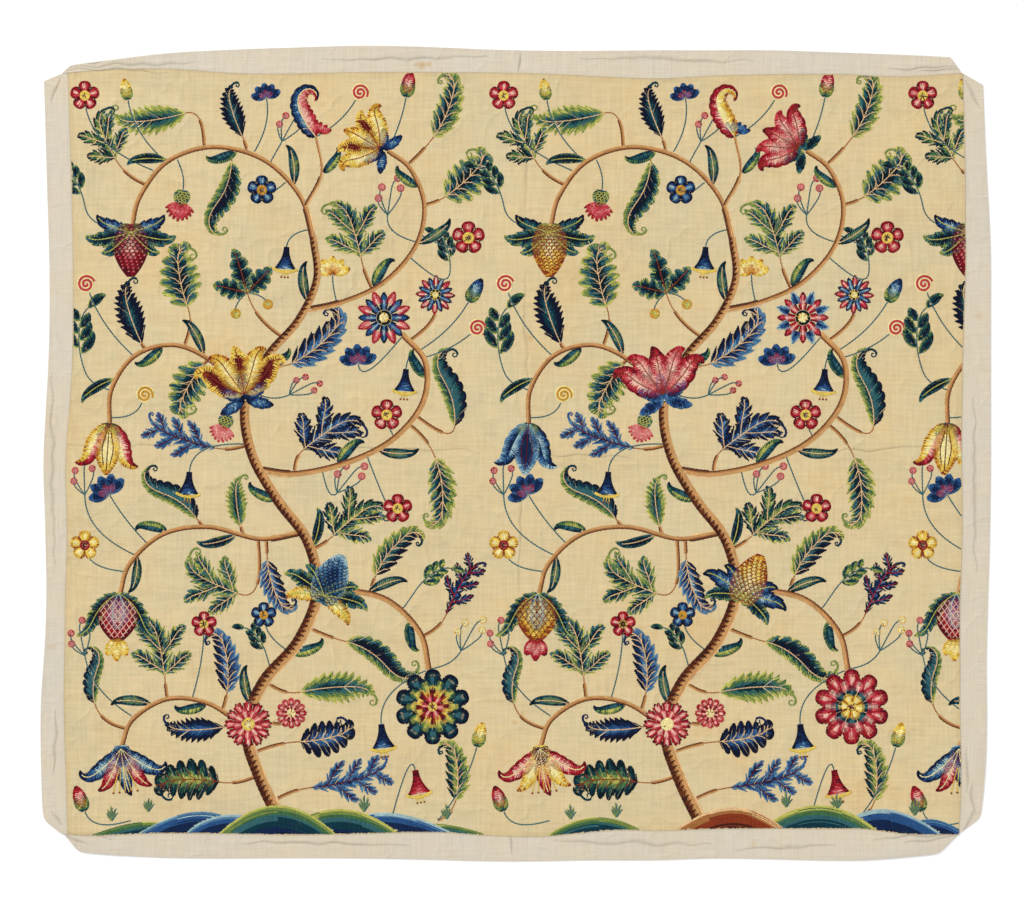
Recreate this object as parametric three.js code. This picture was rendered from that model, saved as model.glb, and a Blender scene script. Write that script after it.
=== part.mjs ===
// Crewel embroidery panel: a ground cloth with four linen strips sewn round it, lying flat, face up.
// Millimetres, +Z up, +X to the right of the panel and +Y to its top, origin on the floor under its middle.
import * as THREE from "three";

// The ground cloth and how thick each cloth is.
const GROUND_WIDTH = 1950;
const GROUND_HEIGHT = 1657;
const GROUND_THICKNESS = 1.6;
const STRIP_THICKNESS = 1.2;

// Pieces that are sewn edge to edge lie this far apart.
const SEAM_GAP = 0.3;

// Cells of each sheet: along the width, along the height, and across a strip.
const CELLS_WIDE = 48;
const CELLS_HIGH = 40;
const CELLS_ACROSS_STRIP = 4;

// Across a strip, the share of its width where its cut end turns at the corner notch.
const NOTCH_SHARE = 0.25;

// One table for each side. A row is a section: its place along the side, and how far out from the
// straight edge of the ground the seam and the strip's outer edge lie there.
const TOP_SECTIONS = [
  { along: -975, seam: 0, edge: 17 },
  { along: -900, seam: 7, edge: 26 },
  { along: -750, seam: 9, edge: 44 },
  { along: -600, seam: -1, edge: 52 },
  { along: -480, seam: -1, edge: 56 },
  { along: -340, seam: 2, edge: 60 },
  { along: -210, seam: 2, edge: 58 },
  { along: -65, seam: 1, edge: 52 },
  { along: 60, seam: -1, edge: 49 },
  { along: 190, seam: -8, edge: 49 },
  { along: 310, seam: -12, edge: 50 },
  { along: 430, seam: -6, edge: 50 },
  { along: 560, seam: -3, edge: 50 },
  { along: 710, seam: -2, edge: 45 },
  { along: 840, seam: -8, edge: 40 },
  { along: 975, seam: 0, edge: 33 },
];
const BOTTOM_SECTIONS = [
  { along: -975, seam: 1, edge: 38 },
  { along: -915, seam: 5, edge: 43 },
  { along: -806, seam: 0, edge: 51 },
  { along: -660, seam: 0, edge: 54 },
  { along: -475, seam: 3, edge: 53 },
  { along: -320, seam: 0, edge: 54 },
  { along: -175, seam: -3, edge: 57 },
  { along: -65, seam: 4, edge: 60 },
  { along: 60, seam: 7, edge: 60 },
  { along: 150, seam: -2, edge: 58 },
  { along: 225, seam: -8, edge: 58 },
  { along: 310, seam: -6, edge: 58 },
  { along: 430, seam: -10, edge: 54 },
  { along: 560, seam: -11, edge: 56 },
  { along: 690, seam: -10, edge: 59 },
  { along: 770, seam: -10, edge: 58 },
  { along: 840, seam: 1, edge: 52 },
  { along: 975, seam: 2, edge: 40 },
];
const LEFT_SECTIONS = [
  { along: -829, seam: 1, edge: 53 },
  { along: -740, seam: 3, edge: 57 },
  { along: -600, seam: 8, edge: 60 },
  { along: -520, seam: 9, edge: 58 },
  { along: -410, seam: 7, edge: 50 },
  { along: -300, seam: 6, edge: 47 },
  { along: -190, seam: 2, edge: 49 },
  { along: -90, seam: 4, edge: 52 },
  { along: -30, seam: 6, edge: 54 },
  { along: 50, seam: 1, edge: 51 },
  { along: 120, seam: -5, edge: 47 },
  { along: 190, seam: -9, edge: 43 },
  { along: 300, seam: -11, edge: 40 },
  { along: 430, seam: -11, edge: 41 },
  { along: 560, seam: -8, edge: 45 },
  { along: 700, seam: -4, edge: 49 },
  { along: 829, seam: 0, edge: 53 },
];
const RIGHT_SECTIONS = [
  { along: -829, seam: -8, edge: 36 },
  { along: -700, seam: -3, edge: 48 },
  { along: -577, seam: -6, edge: 52 },
  { along: -450, seam: -6, edge: 52 },
  { along: -320, seam: -6, edge: 55 },
  { along: -230, seam: -2, edge: 58 },
  { along: -120, seam: -1, edge: 60 },
  { along: -30, seam: -2, edge: 61 },
  { along: 80, seam: -2, edge: 61 },
  { along: 190, seam: 0, edge: 61 },
  { along: 300, seam: 3, edge: 61 },
  { along: 420, seam: 7, edge: 61 },
  { along: 490, seam: 6, edge: 59 },
  { along: 600, seam: 5, edge: 53 },
  { along: 705, seam: 4, edge: 48 },
  { along: 829, seam: 0, edge: 43 },
];

// Each strip: its sections, and where its two sloping ends are cut at the seam, at the corner notch
// and at the outer edge.
const STRIPS = {
  top: {
    sections: TOP_SECTIONS,
    from: { seam: -988, notch: -983, edge: -969 },
    to: { seam: 972, notch: 967, edge: 948 },
  },
  bottom: {
    sections: BOTTOM_SECTIONS,
    from: { seam: -983, notch: -975, edge: -952 },
    to: { seam: 966, notch: 954, edge: 922 },
  },
  left: {
    sections: LEFT_SECTIONS,
    from: { seam: -829, notch: -829, edge: -797 },
    to: { seam: 828, notch: 828, edge: 811 },
  },
  right: {
    sections: RIGHT_SECTIONS,
    from: { seam: -829, notch: -820, edge: -794 },
    to: { seam: 828, notch: 822, edge: 803 },
  },
};

// Soft ridges where the cloth lifts off the floor: the middle of each, its length, its width from
// side to side, its height and its turn from +X in degrees.
const FOLDS = [
  // The long crease down the middle
  { x: 20, y: 560, length: 620, width: 90, height: 2.2, turn: 91 },
  { x: 26, y: -120, length: 900, width: 90, height: 1.8, turn: 89 },
  // Drag lines across the upper left
  { x: -690, y: 628, length: 330, width: 100, height: 3.2, turn: -18 },
  { x: -550, y: 664, length: 460, width: 110, height: 3.6, turn: -20 },
  { x: -392, y: 574, length: 340, width: 100, height: 3.2, turn: -30 },
  { x: -580, y: 424, length: 300, width: 100, height: 3.0, turn: -36 },
  // Drag lines across the upper right
  { x: 118, y: 442, length: 330, width: 100, height: 3.0, turn: 25 },
  { x: 560, y: 520, length: 330, width: 100, height: 2.6, turn: 12 },
  { x: 835, y: 505, length: 330, width: 110, height: 3.4, turn: 17 },
  // Level creases across the middle
  { x: -862, y: -8, length: 330, width: 100, height: 2.6, turn: -2 },
  { x: 170, y: -2, length: 400, width: 110, height: 3.0, turn: 4 },
  { x: 912, y: 10, length: 360, width: 100, height: 2.8, turn: 86 },
  // Slack between the middle and the lower left
  { x: -240, y: -205, length: 360, width: 110, height: 3.2, turn: 38 },
  { x: -250, y: -465, length: 420, width: 110, height: 3.0, turn: 11 },
  { x: -700, y: -380, length: 300, width: 110, height: 2.4, turn: 60 },
  // Small upright puckers across the lower right
  { x: 400, y: -512, length: 230, width: 95, height: 2.6, turn: 72 },
  { x: 540, y: -560, length: 240, width: 95, height: 3.0, turn: 80 },
  { x: 670, y: -500, length: 230, width: 95, height: 2.8, turn: 66 },
  { x: 800, y: -580, length: 240, width: 95, height: 3.2, turn: 78 },
  { x: 850, y: -430, length: 220, width: 95, height: 2.6, turn: 62 },
  { x: 640, y: -710, length: 220, width: 95, height: 2.4, turn: 84 },
  // Tucks in the strips, near their ends
  { x: -840, y: 850, length: 330, width: 90, height: 2.6, turn: 5 },
  { x: 905, y: 838, length: 190, width: 90, height: 3.0, turn: -5 },
  { x: -915, y: -848, length: 200, width: 90, height: 3.2, turn: -12 },
  { x: -992, y: -770, length: 180, width: 90, height: 3.0, turn: 98 },
  { x: 838, y: -852, length: 290, width: 90, height: 3.2, turn: 4 },
  { x: 1000, y: -640, length: 330, width: 90, height: 2.6, turn: 88 },
];

const LINEN_GROUND = new THREE.MeshStandardMaterial({ color: 0xe4d0a0, roughness: 0.9, metalness: 0 });
const LINEN_STRIP = new THREE.MeshStandardMaterial({ color: 0xddd2c0, roughness: 0.92, metalness: 0 });

// A smooth curve through one column of a table of sections.
function columnAt(sections, column, along) {
  const last = sections.length - 1;
  let i = 0;
  while (i < last - 1 && along > sections[i + 1].along) i += 1;
  const before = sections[Math.max(i - 1, 0)];
  const start = sections[i];
  const end = sections[i + 1];
  const after = sections[Math.min(i + 2, last)];
  const span = end.along - start.along;
  const t = THREE.MathUtils.clamp((along - start.along) / span, 0, 1);
  const startSlope = (span * (end[column] - before[column])) / (end.along - before.along);
  const endSlope = (span * (after[column] - start[column])) / (after.along - start.along);
  return (
    start[column] * (2 * t ** 3 - 3 * t ** 2 + 1) +
    startSlope * (t ** 3 - 2 * t ** 2 + t) +
    end[column] * (3 * t ** 2 - 2 * t ** 3) +
    endSlope * (t ** 3 - t ** 2)
  );
}

// The point of a side that lies along it and out from the straight edge of the ground.
function sidePoint(side, along, out) {
  const halfWidth = GROUND_WIDTH / 2;
  const halfHeight = GROUND_HEIGHT / 2;
  if (side === "top") return new THREE.Vector2(along, halfHeight + out);
  if (side === "bottom") return new THREE.Vector2(along, -halfHeight - out);
  if (side === "left") return new THREE.Vector2(-halfWidth - out, along);
  return new THREE.Vector2(halfWidth + out, along);
}

// One hump: 1 in the middle, level and 0 at a distance of 1 and past it.
function hump(distance) {
  return Math.abs(distance) < 1 ? (1 - distance ** 2) ** 2 : 0;
}

// How far the underside of the cloth is lifted off the floor at a place.
function lift(place) {
  return FOLDS.reduce((height, fold) => {
    const fromFold = new THREE.Vector2(place.x - fold.x, place.y - fold.y);
    fromFold.rotateAround(new THREE.Vector2(), -THREE.MathUtils.degToRad(fold.turn));
    const along = hump(fromFold.x / (fold.length / 2));
    const across = hump(fromFold.y / (fold.width / 2));
    return height + fold.height * along * across;
  }, 0);
}

// A closed sheet of even thickness over a grid of cells. place(u, v) is the point for a share u
// across the columns and a share v up the rows, counterclockwise as seen from above.
function sheetGeometry(columns, rows, thickness, place) {
  const positions = [];
  const indices = [];
  const layer = (columns + 1) * (rows + 1);
  for (const above of [0, thickness]) {
    for (let j = 0; j <= rows; j += 1) {
      for (let i = 0; i <= columns; i += 1) {
        const spot = place(i / columns, j / rows);
        positions.push(spot.x, spot.y, lift(spot) + above);
      }
    }
  }
  const corner = (i, j) => j * (columns + 1) + i;
  for (let j = 0; j < rows; j += 1) {
    for (let i = 0; i < columns; i += 1) {
      const [a, b, c, d] = [corner(i, j), corner(i + 1, j), corner(i + 1, j + 1), corner(i, j + 1)];
      indices.push(layer + a, layer + b, layer + c, layer + a, layer + c, layer + d);
      indices.push(a, c, b, a, d, c);
    }
  }
  const rim = [];
  for (let i = 0; i < columns; i += 1) rim.push(corner(i, 0));
  for (let j = 0; j < rows; j += 1) rim.push(corner(columns, j));
  for (let i = columns; i > 0; i -= 1) rim.push(corner(i, rows));
  for (let j = rows; j > 0; j -= 1) rim.push(corner(0, j));
  rim.forEach((start, k) => {
    const end = rim[(k + 1) % rim.length];
    indices.push(start, end, layer + end, start, layer + end, layer + start);
  });
  const geometry = new THREE.BufferGeometry();
  geometry.setAttribute("position", new THREE.Float32BufferAttribute(positions, 3));
  geometry.setIndex(indices);
  geometry.computeVertexNormals();
  return geometry;
}

// How far along a side its two corners of the ground lie, where the seams of its neighbours meet it.
function cornersAlong(side) {
  const first = side === "top" || side === "bottom" ? "left" : "bottom";
  const second = first === "left" ? "right" : "top";
  const half = first === "left" ? GROUND_WIDTH / 2 : GROUND_HEIGHT / 2;
  const nearEnd = side === "top" || side === "right" ? -1 : 0;
  return {
    from: -half - STRIPS[first].sections.at(nearEnd).seam,
    to: half + STRIPS[second].sections.at(nearEnd).seam,
  };
}

// A point on the seam line of a side, for a share of the way between its corners.
function seamPoint(side, share, out) {
  const { from, to } = cornersAlong(side);
  const along = THREE.MathUtils.lerp(from, to, share);
  return sidePoint(side, along, columnAt(STRIPS[side].sections, "seam", along) + out);
}

// The ground cloth fills the four seam lines: across, its points lie between the left and the right
// one, and up between the bottom and the top one.
function groundPlace(u, v) {
  const left = seamPoint("left", v, -SEAM_GAP / 2);
  const right = seamPoint("right", v, -SEAM_GAP / 2);
  const bottom = seamPoint("bottom", u, -SEAM_GAP / 2);
  const top = seamPoint("top", u, -SEAM_GAP / 2);
  return new THREE.Vector2(
    THREE.MathUtils.lerp(left.x, right.x, u),
    THREE.MathUtils.lerp(bottom.y, top.y, v),
  );
}

// Where a strip's end is cut, for a share of its width out from the seam.
function cutAt(end, outShare) {
  if (outShare < NOTCH_SHARE) {
    return THREE.MathUtils.lerp(end.seam, end.notch, outShare / NOTCH_SHARE);
  }
  return THREE.MathUtils.lerp(end.notch, end.edge, (outShare - NOTCH_SHARE) / (1 - NOTCH_SHARE));
}

// A point of a strip, for a share along it and a share of its width out from the seam. Between the
// cut ends, its seam points lie beside those of the ground.
function stripPlace(side, alongShare, outShare) {
  const strip = STRIPS[side];
  const corners = cornersAlong(side);
  const atSeam = THREE.MathUtils.lerp(corners.from, corners.to, alongShare);
  const atEdge = THREE.MathUtils.lerp(strip.from.edge, strip.to.edge, alongShare);
  let along = THREE.MathUtils.lerp(atSeam, atEdge, outShare);
  if (alongShare === 0) along = cutAt(strip.from, outShare);
  if (alongShare === 1) along = cutAt(strip.to, outShare);
  const seam = columnAt(strip.sections, "seam", atSeam) + SEAM_GAP / 2;
  const edge = columnAt(strip.sections, "edge", atEdge);
  return sidePoint(side, along, THREE.MathUtils.lerp(seam, edge, outShare));
}

function stripGeometry(side) {
  const across = CELLS_ACROSS_STRIP;
  if (side === "top") {
    return sheetGeometry(CELLS_WIDE, across, STRIP_THICKNESS, (u, v) => stripPlace(side, u, v));
  }
  if (side === "bottom") {
    return sheetGeometry(CELLS_WIDE, across, STRIP_THICKNESS, (u, v) => stripPlace(side, u, 1 - v));
  }
  if (side === "left") {
    return sheetGeometry(across, CELLS_HIGH, STRIP_THICKNESS, (u, v) => stripPlace(side, v, 1 - u));
  }
  return sheetGeometry(across, CELLS_HIGH, STRIP_THICKNESS, (u, v) => stripPlace(side, v, u));
}

function namedMesh(name, geometry, material) {
  const mesh = new THREE.Mesh(geometry, material);
  mesh.name = name;
  return mesh;
}

const panel = new THREE.Group();
panel.add(
  namedMesh(
    "ground_cloth",
    sheetGeometry(CELLS_WIDE, CELLS_HIGH, GROUND_THICKNESS, groundPlace),
    LINEN_GROUND,
  ),
);
for (const side of Object.keys(STRIPS)) {
  panel.add(namedMesh(`strip_${side}`, stripGeometry(side), LINEN_STRIP));
}

// The origin goes under the middle of the finished outline.
const middle = new THREE.Box3().setFromObject(panel).getCenter(new THREE.Vector3());
panel.position.set(-middle.x, -middle.y, 0);

export default panel;
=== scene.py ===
"""Crewel embroidery panel: the cloths with their folds and weave, the seams and the needlework in wool."""

import math

import bmesh
import bpy
import numpy as np
from bpy.props import FloatProperty, FloatVectorProperty, IntProperty, PointerProperty
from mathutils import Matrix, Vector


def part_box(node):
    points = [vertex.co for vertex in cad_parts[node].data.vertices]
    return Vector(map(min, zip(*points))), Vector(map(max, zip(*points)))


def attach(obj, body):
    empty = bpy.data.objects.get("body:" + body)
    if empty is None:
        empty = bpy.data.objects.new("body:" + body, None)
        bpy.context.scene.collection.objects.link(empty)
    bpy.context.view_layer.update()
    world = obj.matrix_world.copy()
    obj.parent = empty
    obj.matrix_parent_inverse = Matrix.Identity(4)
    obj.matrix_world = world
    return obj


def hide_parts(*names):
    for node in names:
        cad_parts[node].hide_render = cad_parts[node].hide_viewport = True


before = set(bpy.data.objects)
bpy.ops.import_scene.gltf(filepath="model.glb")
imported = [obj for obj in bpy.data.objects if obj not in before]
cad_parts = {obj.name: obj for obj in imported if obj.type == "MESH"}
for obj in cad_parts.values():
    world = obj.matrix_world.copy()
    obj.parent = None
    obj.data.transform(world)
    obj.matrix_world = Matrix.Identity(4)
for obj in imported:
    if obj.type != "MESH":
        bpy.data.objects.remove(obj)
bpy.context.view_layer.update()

bl_info = {
    "name": "Crewel embroidery panel",
    "version": (1, 0, 0),
    "blender": (4, 5, 0),
    "location": "3D View > Sidebar > Crewel",
    "description": "Linen panel with a flowering tree worked in coloured wool",
    "category": "Object",
}

MM = 0.001
SIDES = ("top", "bottom", "left", "right")

# The picture's width in pixels, what one of them covers, and the camera's height over the panel
PHOTO_WIDTH = 1024
PIXEL = 2.18 * MM
CAMERA_HEIGHT = 6.0

# Edges that turn by more than this are the rims of a sheet
SHARP_TURN = math.radians(50)

# Colours of the wool, dark to light in each family
WOOLS = {
    "night": (14, 20, 42), "navy": (18, 38, 74), "blue": (42, 82, 130), "sky": (86, 128, 158),
    "pale": (158, 184, 186),
    "pine": (8, 28, 34), "teal": (12, 54, 66), "sea": (52, 98, 104), "green": (66, 106, 68),
    "leaf": (122, 138, 70), "lime": (186, 184, 92),
    "wine": (88, 14, 26), "crimson": (154, 26, 38), "rose": (190, 62, 72), "pink": (212, 122, 118),
    "blush": (230, 186, 166),
    "gold": (198, 146, 46), "yellow": (226, 196, 88), "cream": (238, 224, 160),
    "bark": (66, 30, 22), "walnut": (102, 50, 24), "rust": (136, 56, 30), "clay": (164, 108, 60),
    "tan": (200, 150, 94), "peach": (228, 190, 140),
}

# Shadings from the outer edge inwards: wool and its share
SHADES = {
    "teal": (("lime", 0.09), ("leaf", 0.11), ("sea", 0.16), ("teal", 0.22), ("pine", 0.22), ("night", 0.2)),
    "pine": (("pine", 0.36), ("teal", 0.28), ("sea", 0.2), ("leaf", 0.16)),
    "flame": (("lime", 0.1), ("leaf", 0.16), ("green", 0.16), ("sea", 0.16), ("teal", 0.2), ("pine", 0.22)),
    "moss": (("pine", 0.2), ("teal", 0.18), ("green", 0.2), ("leaf", 0.2), ("lime", 0.22)),
    "glow": (("lime", 0.14), ("leaf", 0.22), ("green", 0.2), ("teal", 0.44)),
    "dusk": (("night", 0.4), ("teal", 0.3), ("sea", 0.3)),
    "blue": (("night", 0.26), ("navy", 0.24), ("blue", 0.26), ("sky", 0.18), ("pale", 0.06)),
    "haze": (("sky", 0.24), ("blue", 0.3), ("navy", 0.46)),
    "frost": (("pale", 0.2), ("sky", 0.26), ("blue", 0.26), ("navy", 0.28)),
    "red": (("wine", 0.24), ("crimson", 0.32), ("rose", 0.2), ("pink", 0.14), ("blush", 0.1)),
    "pink": (("crimson", 0.3), ("rose", 0.24), ("pink", 0.28), ("blush", 0.18)),
    "sun": (("rust", 0.16), ("gold", 0.2), ("yellow", 0.4), ("cream", 0.24)),
    "ember": (("gold", 0.18), ("yellow", 0.34), ("rust", 0.22), ("wine", 0.26)),
    "turf": (("lime", 0.05), ("leaf", 0.1), ("green", 0.12), ("sea", 0.14), ("teal", 0.22), ("navy", 0.2),
             ("night", 0.17)),
    "slope": (("pale", 0.04), ("sky", 0.06), ("blue", 0.22), ("navy", 0.36), ("night", 0.32)),
    "earth": (("peach", 0.08), ("clay", 0.16), ("rust", 0.26), ("bark", 0.3), ("night", 0.2)),
}

# Wools of the wood, from its left side to its right: boughs, and the stems of large leaves
BARK = ("bark", "walnut", "clay", "tan", "tan", "peach")
TWIG = ("walnut", "clay", "tan")

# Sharp folds at the seams and corners and across the middle, raised and with painted shadow; in millimetres:
# from x, y, to x, y, width
FOLD_LINES = (
    (-978, 838, -760, 832, 7), (-978, 842, -700, 850, 9), (-976, 846, -850, 862, 8),
    (-990, 820, -1012, 760, 8), (969, 843, 812, 836, 7), (966, 838, 880, 831, 6),
    (985, 812, 1012, 750, 8), (-987, -825, -881, -839, 7), (-985, -830, -929, -850, 8),
    (-990, -815, -1010, -780, 8), (-1006, -700, -1000, -560, 8), (968, -829, 781, -841, 7),
    (964, -834, 849, -852, 8), (972, -822, 1005, -775, 8), (995, -720, 1001, -790, 9),
    (984, -640, 988, -742, 9), (-600, -850, -230, -853, 9), (80, -848, 430, -852, 10),
    (480, -862, 700, -858, 9), (-420, 858, -60, 862, 9), (140, 862, 520, 853, 10),
    (-1004, -240, -1010, 180, 9), (1003, -260, 1000, 120, 9), (22, 400, 26, 130, 11),
    (27, 120, 24, -60, 10), (20, 700, 23, 520, 10), (8, 830, 10, 868, 6), (-12, -834, -6, -872, 6),
    (12, -60, 8, -300, 6), (-975, 16, -560, 15, 7), (-470, 14, -70, 4, 6), (44, -5, 262, -9, 7),
    (640, 4, 930, 14, 6),
)

# Stains, in millimetres: x, y, radius, strength; and their colour on the screen
STAINS = (
    (-216, 847, 6, 0.5), (-204, 846, 8, 0.7), (-190, 848, 6, 0.55), (-3, -586, 5, 0.6), (12, -574, 7, 0.5),
    (14, -566, 5, 0.45), (31, 252, 9, 0.4), (1010, 300, 9, 0.3), (-1012, -420, 8, 0.3), (520, -852, 8, 0.3),
)
STAIN = (198, 162, 108)

# Height of the soft creases against the heights listed
CREASE_SCALE = 1.9

# Soft creases pressed into the ground cloth, in millimetres: middle, length, width, height, turn from
# the right in degrees
CREASES = (
    (-760, 690, 300, 34, 0.9, -24), (-640, 600, 380, 40, 1.1, -20), (-470, 690, 300, 36, 0.9, -16),
    (-380, 640, 260, 34, 0.8, -34), (-560, 480, 320, 38, 1.0, -30), (-700, 420, 260, 34, 0.8, -38),
    (-300, 500, 240, 34, 0.7, -28), (-860, 300, 220, 32, 0.8, -62), (-480, 250, 300, 36, 0.7, 12),
    (60, 600, 340, 36, 0.8, 80), (140, 420, 360, 40, 1.0, 24), (260, 520, 300, 36, 0.8, 30),
    (420, 610, 280, 34, 0.7, 18), (600, 470, 320, 38, 0.9, 10), (760, 620, 280, 34, 0.8, 20),
    (880, 420, 260, 36, 0.9, 24), (900, 250, 240, 34, 0.7, 70), (-880, 40, 260, 32, 0.7, 4),
    (-700, -60, 300, 36, 0.8, -6), (-420, 20, 280, 36, 0.7, 8), (120, 30, 340, 38, 0.9, 2),
    (340, -60, 280, 34, 0.8, 10), (620, 60, 280, 34, 0.6, -8), (-300, -160, 300, 38, 0.9, 42),
    (-180, -300, 260, 34, 0.8, 30), (-330, -420, 320, 38, 0.9, 14), (-120, -520, 300, 36, 0.8, 6),
    (-600, -420, 260, 34, 0.7, 64), (-820, -520, 300, 36, 0.8, 48), (-860, -640, 240, 32, 0.8, 34),
    (330, -420, 170, 30, 0.8, 76), (450, -560, 180, 30, 0.9, 70), (500, -440, 160, 30, 0.8, 82),
    (590, -620, 170, 30, 0.9, 74), (700, -560, 180, 30, 0.9, 84), (760, -460, 160, 30, 0.8, 68),
    (850, -620, 170, 30, 0.9, 80), (900, -500, 160, 30, 0.8, 72), (680, -380, 160, 30, 0.7, 60),
    (30, -330, 300, 30, 0.7, 88), (22, 250, 340, 30, 0.7, 90),
)


# Plain helpers for curves in millimetres

# Points on a curl
CURL_POINTS = 48


def circle(angle):
    """Points of a circle of radius 1 at these angles."""
    return np.stack([np.cos(angle), np.sin(angle)], axis=1)


def even(points, step=None, count=None):
    """Points at an even distance along a line."""
    points = np.asarray(points, float)
    gaps = np.linalg.norm(np.diff(points, axis=0), axis=1)
    along = np.concatenate([[0.0], np.cumsum(gaps)])
    if count is None:
        count = max(int(round(along[-1] / step)), 2) + 1
    places = np.linspace(0.0, along[-1], count)
    return np.stack([np.interp(places, along, points[:, i]) for i in (0, 1)], axis=1)


def smooth_line(points, per=14):
    """A smooth curve through a few points; a longer line is kept as it is."""
    p = np.asarray(points, float)
    if len(p) < 3 or len(p) > 30:
        return p
    ends = np.vstack([2 * p[0] - p[1], p, 2 * p[-1] - p[-2]])
    t = np.linspace(0, 1, per, endpoint=False)[:, None]
    parts = []
    for a, b, c, d in zip(ends, ends[1:], ends[2:], ends[3:]):
        bend = 2 * a - 5 * b + 4 * c - d
        parts.append(0.5 * (2 * b + t * (c - a) + t * t * bend + t ** 3 * (3 * (b - c) + d - a)))
    return np.vstack(parts + [p[-1:]])


def curl(length, turn=0.0, hook=0.0, since=0.6, start=(0.0, 0.0), heading=90.0):
    """A spine that turns evenly and hooks over near its tip; angles in degrees."""
    t = np.linspace(0, 1, CURL_POINTS)
    way = np.radians(heading + turn * t + hook * np.clip((t - since) / (1 - since), 0, 1) ** 2)
    steps = circle(way) * length / (CURL_POINTS - 1)
    return np.asarray(start) + np.vstack([[0, 0], np.cumsum(steps[:-1], axis=0)])


def on_curl(spine, share):
    """The point of a curl at a share of its length."""
    return spine[int(share * (CURL_POINTS - 1))]


class Path:
    """An evenly stepped curve, read by its share from start to end."""

    def __init__(self, points, step=1.0):
        self.points = even(smooth_line(points), step)
        slope = np.gradient(self.points, axis=0)
        self.along = slope / np.maximum(np.linalg.norm(slope, axis=1), 1e-9)[:, None]
        self.across = np.stack([-self.along[:, 1], self.along[:, 0]], axis=1)
        self.length = float(np.linalg.norm(np.diff(self.points, axis=0), axis=1).sum())

    def read(self, values, share):
        places = np.linspace(0, 1, len(values))
        return np.stack([np.interp(share, places, values[:, i]) for i in (0, 1)], axis=-1)

    def at(self, share):
        return self.read(self.points, share)

    def heading(self, share):
        return self.read(self.along, share)

    def side(self, share):
        return self.read(self.across, share)


# The needlework: stitches laid out flat, in millimetres

# Columns of the stitch table: where it starts and ends, its width, the order it is laid in, its lift,
# the number of its piece and its colour
START, END = slice(0, 2), slice(2, 4)
WIDTH, ORDER, LIFT, PIECE = 4, 5, 6, 7
COLOUR = slice(8, 11)

# How much the wool varies from stitch to stitch
SHADE_SPREAD = 0.045
TINT_SPREAD = 0.007

# Long and short stitches: the places looked at along a row, the share of the row distance below which
# rows are halved in number, how often that may be, and the widths against the gap and the wool
ROW_PLACES = 14
CROWDED = 0.6
HALVINGS = 4
FULLNESS = 1.18
THINNEST = 0.55
THICKEST = 1.7

# How far the first stitch of a row may stray, and the shortest that the last may be, in stitches
STAGGER = 0.12
LAST_STITCH = 0.35

# Stem stitches: step and overlap against the stitch, slant against the row distance
STEM_STEP = 0.86
STEM_OVERLAP = 1.12
STEM_SLANT = 0.22


class Cover:
    """A grid over the cloth that marks what is covered already, or lies beyond the cloth's edge."""

    def __init__(self, edges, cell=1.0, margin=1.5):
        self.cell = cell
        self.low = np.array([edges["left"][:, 0].min(), edges["bottom"][:, 1].min()])
        high = np.array([edges["right"][:, 0].max(), edges["top"][:, 1].max()])
        self.count = ((high - self.low) / cell).astype(int)
        xs, ys = (low + (np.arange(count) + 0.5) * cell for low, count in zip(self.low, self.count))
        bottom, top = (np.interp(xs, edges[side][:, 0], edges[side][:, 1]) for side in ("bottom", "top"))
        left, right = (np.interp(ys, edges[side][:, 1], edges[side][:, 0]) for side in ("left", "right"))
        bare = (ys[None] > bottom[:, None] + margin) & (ys[None] < top[:, None] - margin)
        bare &= (xs[:, None] > left[None] + margin) & (xs[:, None] < right[None] - margin)
        self.taken = np.ones(self.count + 2, bool)
        self.taken[1:-1, 1:-1] = ~bare

    def cells(self, points):
        spots = np.floor((points - self.low) / self.cell).astype(int) + 1
        return tuple(np.clip(spots[..., i], 0, self.count[i] + 1) for i in (0, 1))

    def mark(self, points):
        self.taken[self.cells(points)] = True

    def free(self, points):
        return ~self.taken[self.cells(points)]


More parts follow.
